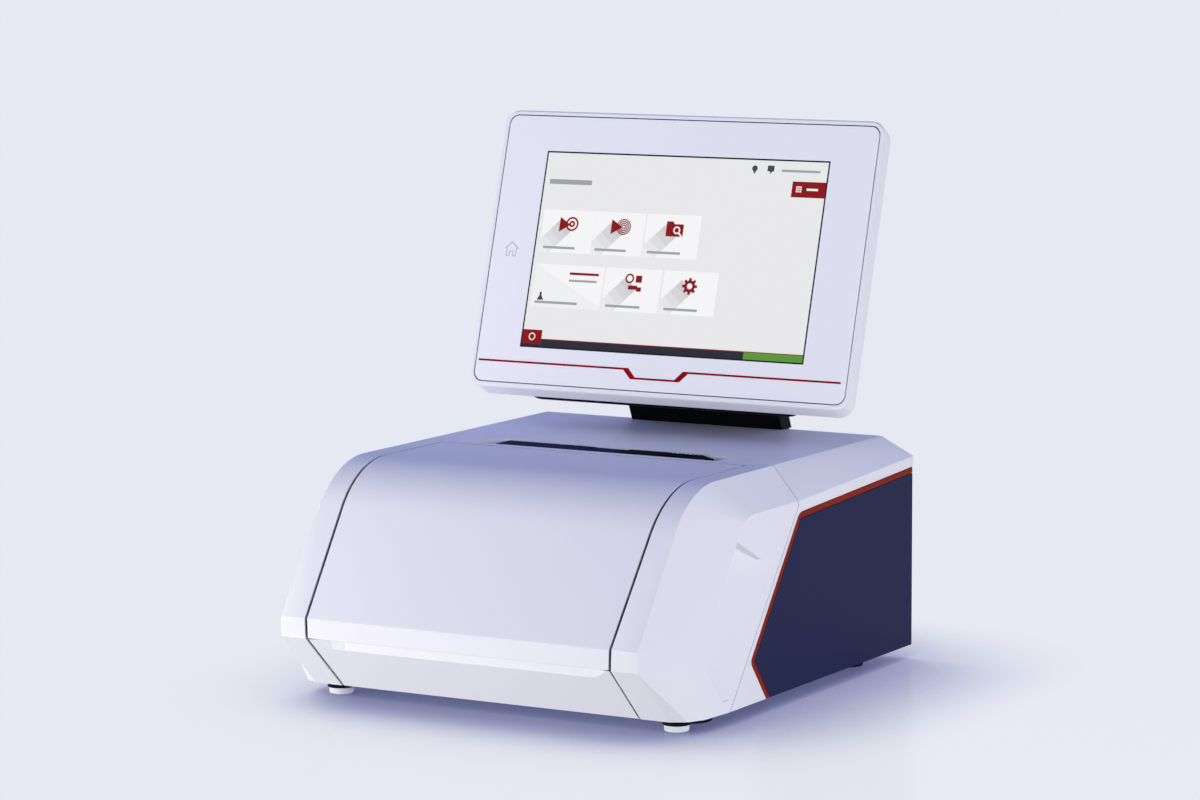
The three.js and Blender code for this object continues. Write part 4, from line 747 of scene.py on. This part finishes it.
PLAY = [[-7.2, -5.2], [1.4, 0], [-7.2, 5.2]]
FOLDER = [[-6.6, -5.0], [6.6, -5.0], [6.6, 3.6], [-0.5, 3.6], [-1.9, 5.4], [-6.6, 5.4]]
HANDLE = [[1.4, -2.2], [2.2, -1.4], [4.6, -4.0], [3.8, -4.8]]
FLASK = [[-2.6, -2.6], [2.6, -2.6], [0.8, 0.6], [0.8, 3.0], [-0.8, 3.0], [-0.8, 0.6]]
PIN_POINT = [[-1.2, -1.4], [1.2, -1.4], [0, -4.0]]
BUBBLE_POINT = [[-1.2, 0], [0.8, 0], [-1.0, -2.4]]
# turns from the middle of a gear's tooth to its four corners, the corners' radii, and the hole's
GEAR_TURNS = np.array([-0.24, -0.16, 0.16, 0.24])
GEAR_RADII = np.array([4.2, 5.8, 5.8, 4.2])
GEAR_HOLE = 2.1


def add_marks(red, ink, holes):
    """The small marks on the tiles and in the status line, of plain generic forms."""

    def at(place, outline, layer=4):
        return on_screen(np.add(outline, place), layer)

    u, v = MARK_PLACES[0, 0]
    red.append(at((u, v), PLAY))
    red += [ring_on_screen((u + 2.6, v + 0.6), *radii, 4) for radii in ((5.0, 3.7), (2.3, 0.9))]
    u, v = MARK_PLACES[0, 1]
    red.append(at((u, v), PLAY))
    red += [ring_on_screen((u + 2.4, v + 0.2), 5.6 - 1.3 * k, 4.8 - 1.3 * k, 4) for k in range(4)]
    u, v = MARK_PLACES[0, 2]
    red.append(at((u, v), FOLDER))
    holes += [ring_on_screen((u + 1.6, v - 0.6), 2.7, 1.7, 6), at((u + 1.6, v - 0.6), HANDLE, 6)]
    turn = np.arange(8)[:, None] * math.pi / 4 + GEAR_TURNS
    gear = np.stack([GEAR_RADII * np.cos(turn), GEAR_RADII * np.sin(turn)], -1).reshape(-1, 2)
    shift = np.add(MARK_PLACES[1, 2], (0, SCREEN_RAISE))
    hole = ring_outline(*shift, GEAR_HOLE, len(gear))
    red.append(band(gear + shift, hole, PICTURE_FACE - 4 * PICTURE_LAYER, RING_BACK))
    u, v = MARK_PLACES[1, 1]
    red.append(ring_on_screen((u - 3.2, v + 3.2), 3.4, 2.2, 5))
    red.append(on_screen(box_outline(u + 1.6, u + 6.4, v + 0.6, v + 5.4), 4))
    red.append(on_screen(box_outline(u - 3.6, u + 3.4, v - 4.4, v - 1.6), 4))
    red.append(on_screen(box_outline(u + 2.8, u + 6.6, v - 5.6, v - 2.6), 5))
    ink.append(at((-99.0, -33.0), FLASK))
    ink += [on_screen(ring_outline(53.5, 62.3, 2.1, 16), 4), at((53.5, 62.3), PIN_POINT)]
    ink += [on_screen(box_outline(63.2, 68.2, 60.6, 64.6), 4), at((66.4, 61), BUBBLE_POINT)]


def add_picture():
    """Plates for each colour of the picture, right under the glass's face."""
    shades = {f"shade_{k + 1}": (tone, tone, SHADE_BLUE * tone) for k, tone in enumerate(SHADE_TONES[:, 1])}
    colours = {**PICTURE_COLOURS, **shades}
    for key, shapes in picture_shapes().items():
        piece = plates("picture_" + key, shapes)
        dressed(piece, lit("lit_" + key, colours[key]), "display", "screen")
        if key == "page":
            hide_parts("display_screen")


def add_bezel(finishes):
    """The display's glass: a white printed border round the window, with its front edge rounded. The grid
    goes through outlines with as many points each, from the back of the rim to the back of the window."""
    width, height, corner = GLASS

    def edge(inset):
        return rounded(width - 2 * inset, height - 2 * inset, corner - inset, GLASS_RAISE)

    def window(wider, radius):
        wide, high = (2 * (half + WINDOW_EDGE) + wider for half in SCREEN_HALF)
        return rounded(wide, high, radius, SCREEN_RAISE)

    inner = window(0, 0.4)
    loops = [(edge(inset), depth) for inset, depth in GLASS_EDGE]
    loops += [(window(1, 0.8), 0.0), (inner, 0.0), (inner, GLASS_BACK)]
    points = np.vstack([np.column_stack([line, np.full(len(line), depth)]) for line, depth in loops])
    faces = grid_faces(len(loops), len(inner), True, True)
    piece = cleaned(place_mesh("display_glass_piece", in_display(points), faces))
    dressed(piece, finishes["bezel"], "display", "glass", "display_glass")


# the printed line's upper and lower edge, each with a dip at the middle
LINE_TOP = [[-141.0, -77.8], [-22.1, -77.8], [-16.2, -83.9], [14.4, -83.9], [20.2, -77.8], [139.0, -77.8]]
LINE_LOW = [[-141.0, -79.2], [-25.8, -79.2], [-19.8, -85.3], [18.3, -85.3], [24.2, -79.2], [139.0, -79.2]]
LINE_FACE = -0.06
# the printed house: its roof's outline, and its walls as left, right, lower and upper edge
HOUSE_PLACE = (-127.3, 0.4)
HOUSE_ROOF = [[-5.4, 0.2], [0, 5.2], [5.4, 0.2], [4.9, -0.3], [0, 4.3], [-4.9, -0.3]]
HOUSE_WALLS = [
    (-4.0, -3.5, -5.4, 0.4),
    (3.5, 4.0, -5.4, 0.4),
    (-4.0, -1.3, -5.4, -4.9),
    (1.3, 4.0, -5.4, -4.9),
    (-1.7, -1.2, -5.4, -1.8),
    (1.2, 1.7, -5.4, -1.8),
    (-1.7, 1.7, -2.2, -1.7),
]
HOUSE_FACE = -0.05
PRINT_BACK = 0.2


def add_bezel_print(finishes):
    """The printed lines on the glass: a red line with a dip at its middle, and a grey house outline. The
    red line is a four-cornered profile, carried from end to end."""
    n = len(LINE_TOP)
    corners = ((LINE_TOP, LINE_FACE), (LINE_LOW, LINE_FACE), (LINE_LOW, PRINT_BACK), (LINE_TOP, PRINT_BACK))
    rings = [np.column_stack([line, np.full(n, depth)]) for line, depth in corners]
    points = in_display(np.stack(rings, 1).reshape(-1, 3))
    line = cleaned(place_mesh("bezel_line", points, swept_faces(n, len(rings))))
    dressed(line, finishes["red"], "display", "accent")
    outlines = [np.array(HOUSE_ROOF), *(box_outline(*wall) for wall in HOUSE_WALLS)]
    shapes = [slab(outline + HOUSE_PLACE, HOUSE_FACE, PRINT_BACK) for outline in outlines]
    dressed(plates("home_mark", shapes), finishes["grey"], "display", "black")


# Stage

# angles in degrees, focal length in pixels of an image IMAGE_WIDTH wide, eye in metres, sensor in mm
AZIMUTH, ELEVATION, ROLL = 30.012, 7.418, -0.2188
FOCAL_PIXELS = 4219.1
IMAGE_WIDTH = 1200
EYE = (1.3812, -2.38185, 0.5463)
SENSOR_WIDTH = 36.0
CLIP_END = 50


def add_camera():
    """The camera at the photograph's place. With azimuth a and elevation e it looks against the direction
    (sin a cos e, -cos a cos e, sin e), and it is turned about that by the roll."""
    a, e, r = (math.radians(angle) for angle in (AZIMUTH, ELEVATION, ROLL))
    back = Vector((math.sin(a) * math.cos(e), -math.cos(a) * math.cos(e), math.sin(e)))
    right = Vector((math.cos(a), math.sin(a), 0))
    up = back.cross(right)
    right, up = right * math.cos(r) + up * math.sin(r), up * math.cos(r) - right * math.sin(r)
    data = bpy.data.cameras.new("camera")
    data.sensor_width = SENSOR_WIDTH
    data.lens = FOCAL_PIXELS * SENSOR_WIDTH / IMAGE_WIDTH
    data.clip_end = CLIP_END
    camera = bpy.data.objects.new("camera", data)
    bpy.context.scene.collection.objects.link(camera)
    camera.matrix_world = Matrix.Translation(EYE) @ Matrix((right, up, back)).transposed().to_4x4()
    bpy.context.scene.camera = camera


def seen_rays(tree):
    """1 for rays from the camera, from gloss and through glass, else 0."""
    path = add_node(tree, "ShaderNodeLightPath")
    first = add_node(tree, "ShaderNodeMath", operation="MAXIMUM")
    second = add_node(tree, "ShaderNodeMath", operation="MAXIMUM")
    tree.links.new(path.outputs["Is Camera Ray"], first.inputs[0])
    tree.links.new(path.outputs["Is Glossy Ray"], first.inputs[1])
    tree.links.new(first.outputs[0], second.inputs[0])
    tree.links.new(path.outputs["Is Transmission Ray"], second.inputs[1])
    return second.outputs[0]


SKY_HORIZON = (2.35, 2.35, 2.38)
SKY_ZENITH = (0.13, 0.168, 0.41)
ZENITH_START = 0.3
BOUNCE = (0.555, 0.572, 0.675)


def add_world(background):
    """A lavender sky, brighter at the horizon, which seen rays meet as the plain backdrop."""
    world = bpy.context.scene.world or bpy.data.worlds.new("World")
    bpy.context.scene.world = world
    world.use_nodes = True
    tree = world.node_tree
    tree.nodes.clear()
    output = add_node(tree, "ShaderNodeOutputWorld")
    sky = add_node(tree, "ShaderNodeBackground", {"Strength": 1.0})
    plain = add_node(tree, "ShaderNodeBackground", {"Color": tuple(background) + (1,), "Strength": 1.0})
    coords = add_node(tree, "ShaderNodeTexCoord")
    split = add_node(tree, "ShaderNodeSeparateXYZ")
    ramp = add_node(tree, "ShaderNodeValToRGB")
    ramp.color_ramp.elements[0].position = 0.0
    ramp.color_ramp.elements[0].color = SKY_HORIZON + (1,)
    ramp.color_ramp.elements[1].position = ZENITH_START
    ramp.color_ramp.elements[1].color = SKY_ZENITH + (1,)
    mix = add_node(tree, "ShaderNodeMixShader")
    tree.links.new(coords.outputs["Generated"], split.inputs["Vector"])
    tree.links.new(split.outputs["Z"], ramp.inputs["Fac"])
    tree.links.new(ramp.outputs["Color"], sky.inputs["Color"])
    tree.links.new(seen_rays(tree), mix.inputs["Fac"])
    tree.links.new(sky.outputs["Background"], mix.inputs[1])
    tree.links.new(plain.outputs["Background"], mix.inputs[2])
    tree.links.new(mix.outputs["Shader"], output.inputs["Surface"])


# painted shadow on the floor: openness of the sky above the floor, and the share of the backdrop's colour
# that it leaves
FLOOR_SHADE = ((0.0, (0.085, 0.093, 0.215)), (0.5, (0.42, 0.43, 0.62)), (1.0, (1.0, 1.0, 1.0)))
FLOOR_LEAN = (-0.34, -0.24, 1.0)
FLOOR_REACH = 0.14
OPEN_FLOOR = 0.94
FLOOR_SHEEN = 0.04
FLOOR_ROUGHNESS = 0.2
FADE_START, FADE_END = 0.45, 1.1
FLOOR_HALF = 20


def add_floor(background):
    """A wide floor in the backdrop's colour, with a painted shadow: it glows, and the less of the sky is
    open above a place, leaning to the lit side, the darker its glow is, whatever the lamps do. A faint
    gloss shows the instrument upside down. With the distance from the middle it fades into the backdrop's
    plain colour."""
    material, tree, output, coords = new_material("pale_floor_painted_shadow")
    lean = add_node(tree, "ShaderNodeCombineXYZ", dict(zip("XYZ", Vector(FLOOR_LEAN).normalized())))
    open_sky = add_node(tree, "ShaderNodeAmbientOcclusion", {"Distance": FLOOR_REACH}, samples=12)
    stretch = add_node(tree, "ShaderNodeMapRange", {"From Max": OPEN_FLOOR}, clamp=True)
    shade = add_node(tree, "ShaderNodeValToRGB")
    ramp = shade.color_ramp
    ramp.elements.new(FLOOR_SHADE[1][0])
    for element, (place, share) in zip(ramp.elements, FLOOR_SHADE):
        element.position = place
        element.color = tuple(c * share[i] for i, c in enumerate(background)) + (1,)
    # painted shadow: the floor glows in the shaded colour, which no lamp changes
    near = add_node(tree, "ShaderNodeEmission", {"Strength": 1.0})
    gloss = add_node(tree, "ShaderNodeBsdfGlossy", {"Color": (1, 1, 1, 1), "Roughness": FLOOR_ROUGHNESS})
    far = add_node(tree, "ShaderNodeEmission", {"Color": tuple(background) + (1,), "Strength": 1.0})
    bounce = add_node(tree, "ShaderNodeEmission", {"Color": BOUNCE + (1,), "Strength": 1.0})
    length = add_node(tree, "ShaderNodeVectorMath", operation="LENGTH")
    fade_range = {"From Min": FADE_START, "From Max": FADE_END}
    fade = add_node(tree, "ShaderNodeMapRange", fade_range, interpolation_type="SMOOTHSTEP")
    sheen = add_node(tree, "ShaderNodeMixShader", {"Fac": FLOOR_SHEEN})
    shown = add_node(tree, "ShaderNodeMixShader")
    whole = add_node(tree, "ShaderNodeMixShader")
    tree.links.new(coords, length.inputs[0])
    tree.links.new(length.outputs["Value"], fade.inputs["Value"])
    tree.links.new(lean.outputs["Vector"], open_sky.inputs["Normal"])
    tree.links.new(open_sky.outputs["AO"], stretch.inputs["Value"])
    tree.links.new(stretch.outputs["Result"], shade.inputs["Fac"])
    tree.links.new(shade.outputs["Color"], near.inputs["Color"])
    tree.links.new(near.outputs["Emission"], sheen.inputs[1])
    tree.links.new(gloss.outputs["BSDF"], sheen.inputs[2])
    tree.links.new(fade.outputs["Result"], shown.inputs["Fac"])
    tree.links.new(sheen.outputs["Shader"], shown.inputs[1])
    tree.links.new(far.outputs["Emission"], shown.inputs[2])
    tree.links.new(seen_rays(tree), whole.inputs["Fac"])
    tree.links.new(bounce.outputs["Emission"], whole.inputs[1])
    tree.links.new(shown.outputs["Shader"], whole.inputs[2])
    tree.links.new(whole.outputs["Shader"], output.inputs["Surface"])
    line = np.linspace(-FLOOR_HALF, FLOOR_HALF, 5)
    xx, yy = np.meshgrid(line, line, indexing="ij")
    points = np.stack([xx, yy, np.zeros_like(xx)], -1).reshape(-1, 3)
    mesh = bpy.data.meshes.new("floor")
    mesh.from_pydata(points, [], grid_faces(len(line), len(line))[:, ::-1].tolist())
    floor = bpy.data.objects.new("floor", mesh)
    bpy.context.scene.collection.objects.link(floor)
    mesh.materials.append(material)


# name, place it shines from and place it is aimed at (m), size (m), power (W), colour
LAMPS = [
    ("left_box", (-0.66, -0.80, 0.12), (-0.02, -0.08, 0.10), (0.5, 0.22), 5.65, (1.0, 0.935, 0.785)),
    ("right_box", (1.4, -0.5, 0.34), (0.0, 0.0, 0.1), (0.8, 0.5), 6.8, (1.0, 0.97, 0.82)),
    ("rear_box", (-0.3, 2.0, 0.9), (0.0, 0.0, 0.12), (1.6, 0.8), 4.4, (0.34, 0.38, 1.0)),
    ("side_box", (-1.5, 0.5, 0.6), (0.0, 0.0, 0.12), (0.8, 0.6), 9.0, (0.13, 0.2, 1.0)),
]
SEEN_IN_GLOSS = ("rear_box", "side_box")


def add_lamps():
    """Soft boxes round the instrument. The two key lamps in front leave no glare on the floor."""
    for name, place, aim, size, power, colour in LAMPS:
        data = bpy.data.lights.new(name, "AREA")
        data.energy, data.color = power, colour
        data.shape, data.size, data.size_y = "RECTANGLE", *size
        thing = bpy.data.objects.new(name, data)
        thing.visible_glossy = name in SEEN_IN_GLOSS
        bpy.context.scene.collection.objects.link(thing)
        turn = (Vector(place) - Vector(aim)).to_track_quat("Z", "Y").to_matrix().to_4x4()
        thing.matrix_world = Matrix.Translation(place) @ turn


# Operators, one for each piece or group of like pieces

finishes = {}


def shared_finishes():
    """The finishes, made once."""
    if not finishes:
        scene = bpy.context.scene
        finishes.update(make_finishes(scene.spectrometer_colours, scene.spectrometer_sizes))
    return finishes


def soften_group(group):
    """The pieces of one group, as rounded copies of their solids."""
    made = shared_finishes()
    for name, width, material, slot, *rest in SOFTENED[group]:
        for side in ("right", "left") if name.endswith("_") else ("",):
            softened(name + side, width, made[material], slot, *rest)


class SPECTROMETER_OT_housing(bpy.types.Operator):
    """Make the housing's shells, base plate, rear panel and lower front panel"""

    bl_idname = "spectrometer.housing"
    bl_label = "Housing"

    def execute(self, context):
        soften_group("housing")
        add_lower_panel(shared_finishes(), context.scene.spectrometer_sizes.panel_edge)
        return {"FINISHED"}


class SPECTROMETER_OT_side_panels(bpy.types.Operator):
    """Make the dark side panels and their coloured strips"""

    bl_idname = "spectrometer.side_panels"
    bl_label = "Side panels"

    def execute(self, context):
        soften_group("side")
        return {"FINISHED"}


class SPECTROMETER_OT_lid(bpy.types.Operator):
    """Make the sample lid, its liner, seal and hinges"""

    bl_idname = "spectrometer.lid"
    bl_label = "Sample lid"

    def execute(self, context):
        soften_group("lid")
        return {"FINISHED"}


class SPECTROMETER_OT_recess(bpy.types.Operator):
    """Make the ribbed guide and the cover in the deck's recess"""

    bl_idname = "spectrometer.recess"
    bl_label = "Recess"

    def execute(self, context):
        sizes = context.scene.spectrometer_sizes
        add_recess_strips(shared_finishes(), sizes.rib_pitch, sizes.rib_height)
        return {"FINISHED"}


class SPECTROMETER_OT_feet(bpy.types.Operator):
    """Make the feet and bumpers"""

    bl_idname = "spectrometer.feet"
    bl_label = "Feet"

    def execute(self, context):
        soften_group("feet")
        add_front_feet(shared_finishes())
        return {"FINISHED"}


class SPECTROMETER_OT_compartment(bpy.types.Operator):
    """Make the sample compartment"""

    bl_idname = "spectrometer.compartment"
    bl_label = "Sample compartment"

    def execute(self, context):
        soften_group("compartment")
        return {"FINISHED"}


class SPECTROMETER_OT_optics(bpy.types.Operator):
    """Make the optical bench and what stands on it"""

    bl_idname = "spectrometer.optics"
    bl_label = "Optics"

    def execute(self, context):
        soften_group("optics")
        return {"FINISHED"}


class SPECTROMETER_OT_electronics(bpy.types.Operator):
    """Make the main board and the power supply"""

    bl_idname = "spectrometer.electronics"
    bl_label = "Electronics"

    def execute(self, context):
        soften_group("electronics")
        return {"FINISHED"}


class SPECTROMETER_OT_connections(bpy.types.Operator):
    """Make the mains inlet, the switch and the data sockets"""

    bl_idname = "spectrometer.connections"
    bl_label = "Connections"

    def execute(self, context):
        soften_group("connections")
        return {"FINISHED"}


class SPECTROMETER_OT_neck(bpy.types.Operator):
    """Make the neck and its tilt pin"""

    bl_idname = "spectrometer.neck"
    bl_label = "Neck"

    def execute(self, context):
        soften_group("neck")
        return {"FINISHED"}


class SPECTROMETER_OT_display(bpy.types.Operator):
    """Make the display's shell, back, hinge and printed glass"""

    bl_idname = "spectrometer.display"
    bl_label = "Display"

    def execute(self, context):
        soften_group("display")
        add_bezel(shared_finishes())
        add_bezel_print(shared_finishes())
        return {"FINISHED"}


class SPECTROMETER_OT_picture(bpy.types.Operator):
    """Make the picture on the display"""

    bl_idname = "spectrometer.picture"
    bl_label = "Picture"

    def execute(self, context):
        add_picture()
        return {"FINISHED"}


class SPECTROMETER_OT_stage(bpy.types.Operator):
    """Make the floor, the backdrop, the lamps and the camera"""

    bl_idname = "spectrometer.stage"
    bl_label = "Stage"

    def execute(self, context):
        background = context.scene.spectrometer_colours.background
        add_world(background)
        add_floor(background)
        add_lamps()
        add_camera()
        context.scene.view_settings.view_transform = "Standard"
        return {"FINISHED"}


OPERATORS = (
    SPECTROMETER_OT_housing,
    SPECTROMETER_OT_side_panels,
    SPECTROMETER_OT_lid,
    SPECTROMETER_OT_recess,
    SPECTROMETER_OT_feet,
    SPECTROMETER_OT_compartment,
    SPECTROMETER_OT_optics,
    SPECTROMETER_OT_electronics,
    SPECTROMETER_OT_connections,
    SPECTROMETER_OT_neck,
    SPECTROMETER_OT_display,
    SPECTROMETER_OT_picture,
    SPECTROMETER_OT_stage,
)


class SPECTROMETER_PT_panel(bpy.types.Panel):
    """The sidebar's list of what can be made"""

    bl_idname = "SPECTROMETER_PT_panel"
    bl_label = "Spectrometer"
    bl_space_type = "VIEW_3D"
    bl_region_type = "UI"
    bl_category = "Spectrometer"

    def draw(self, context):
        for group in (context.scene.spectrometer_colours, context.scene.spectrometer_sizes):
            for key in group.__annotations__:
                self.layout.prop(group, key)
        for operator in OPERATORS:
            self.layout.operator(operator.bl_idname)


CLASSES = (SpectrometerColours, SpectrometerSizes, *OPERATORS, SPECTROMETER_PT_panel)


def register():
    """Registers the classes and the scene's settings."""
    for one in CLASSES:
        bpy.utils.register_class(one)
    bpy.types.Scene.spectrometer_colours = PointerProperty(type=SpectrometerColours)
    bpy.types.Scene.spectrometer_sizes = PointerProperty(type=SpectrometerSizes)


def unregister():
    """Takes them away again."""
    del bpy.types.Scene.spectrometer_sizes
    del bpy.types.Scene.spectrometer_colours
    for one in reversed(CLASSES):
        bpy.utils.unregister_class(one)


def main():
    """Makes every piece in order."""
    register()
    for operator in OPERATORS:
        group, name = operator.bl_idname.split(".")
        getattr(getattr(bpy.ops, group), name)()


if __name__ == "__main__":
    main()
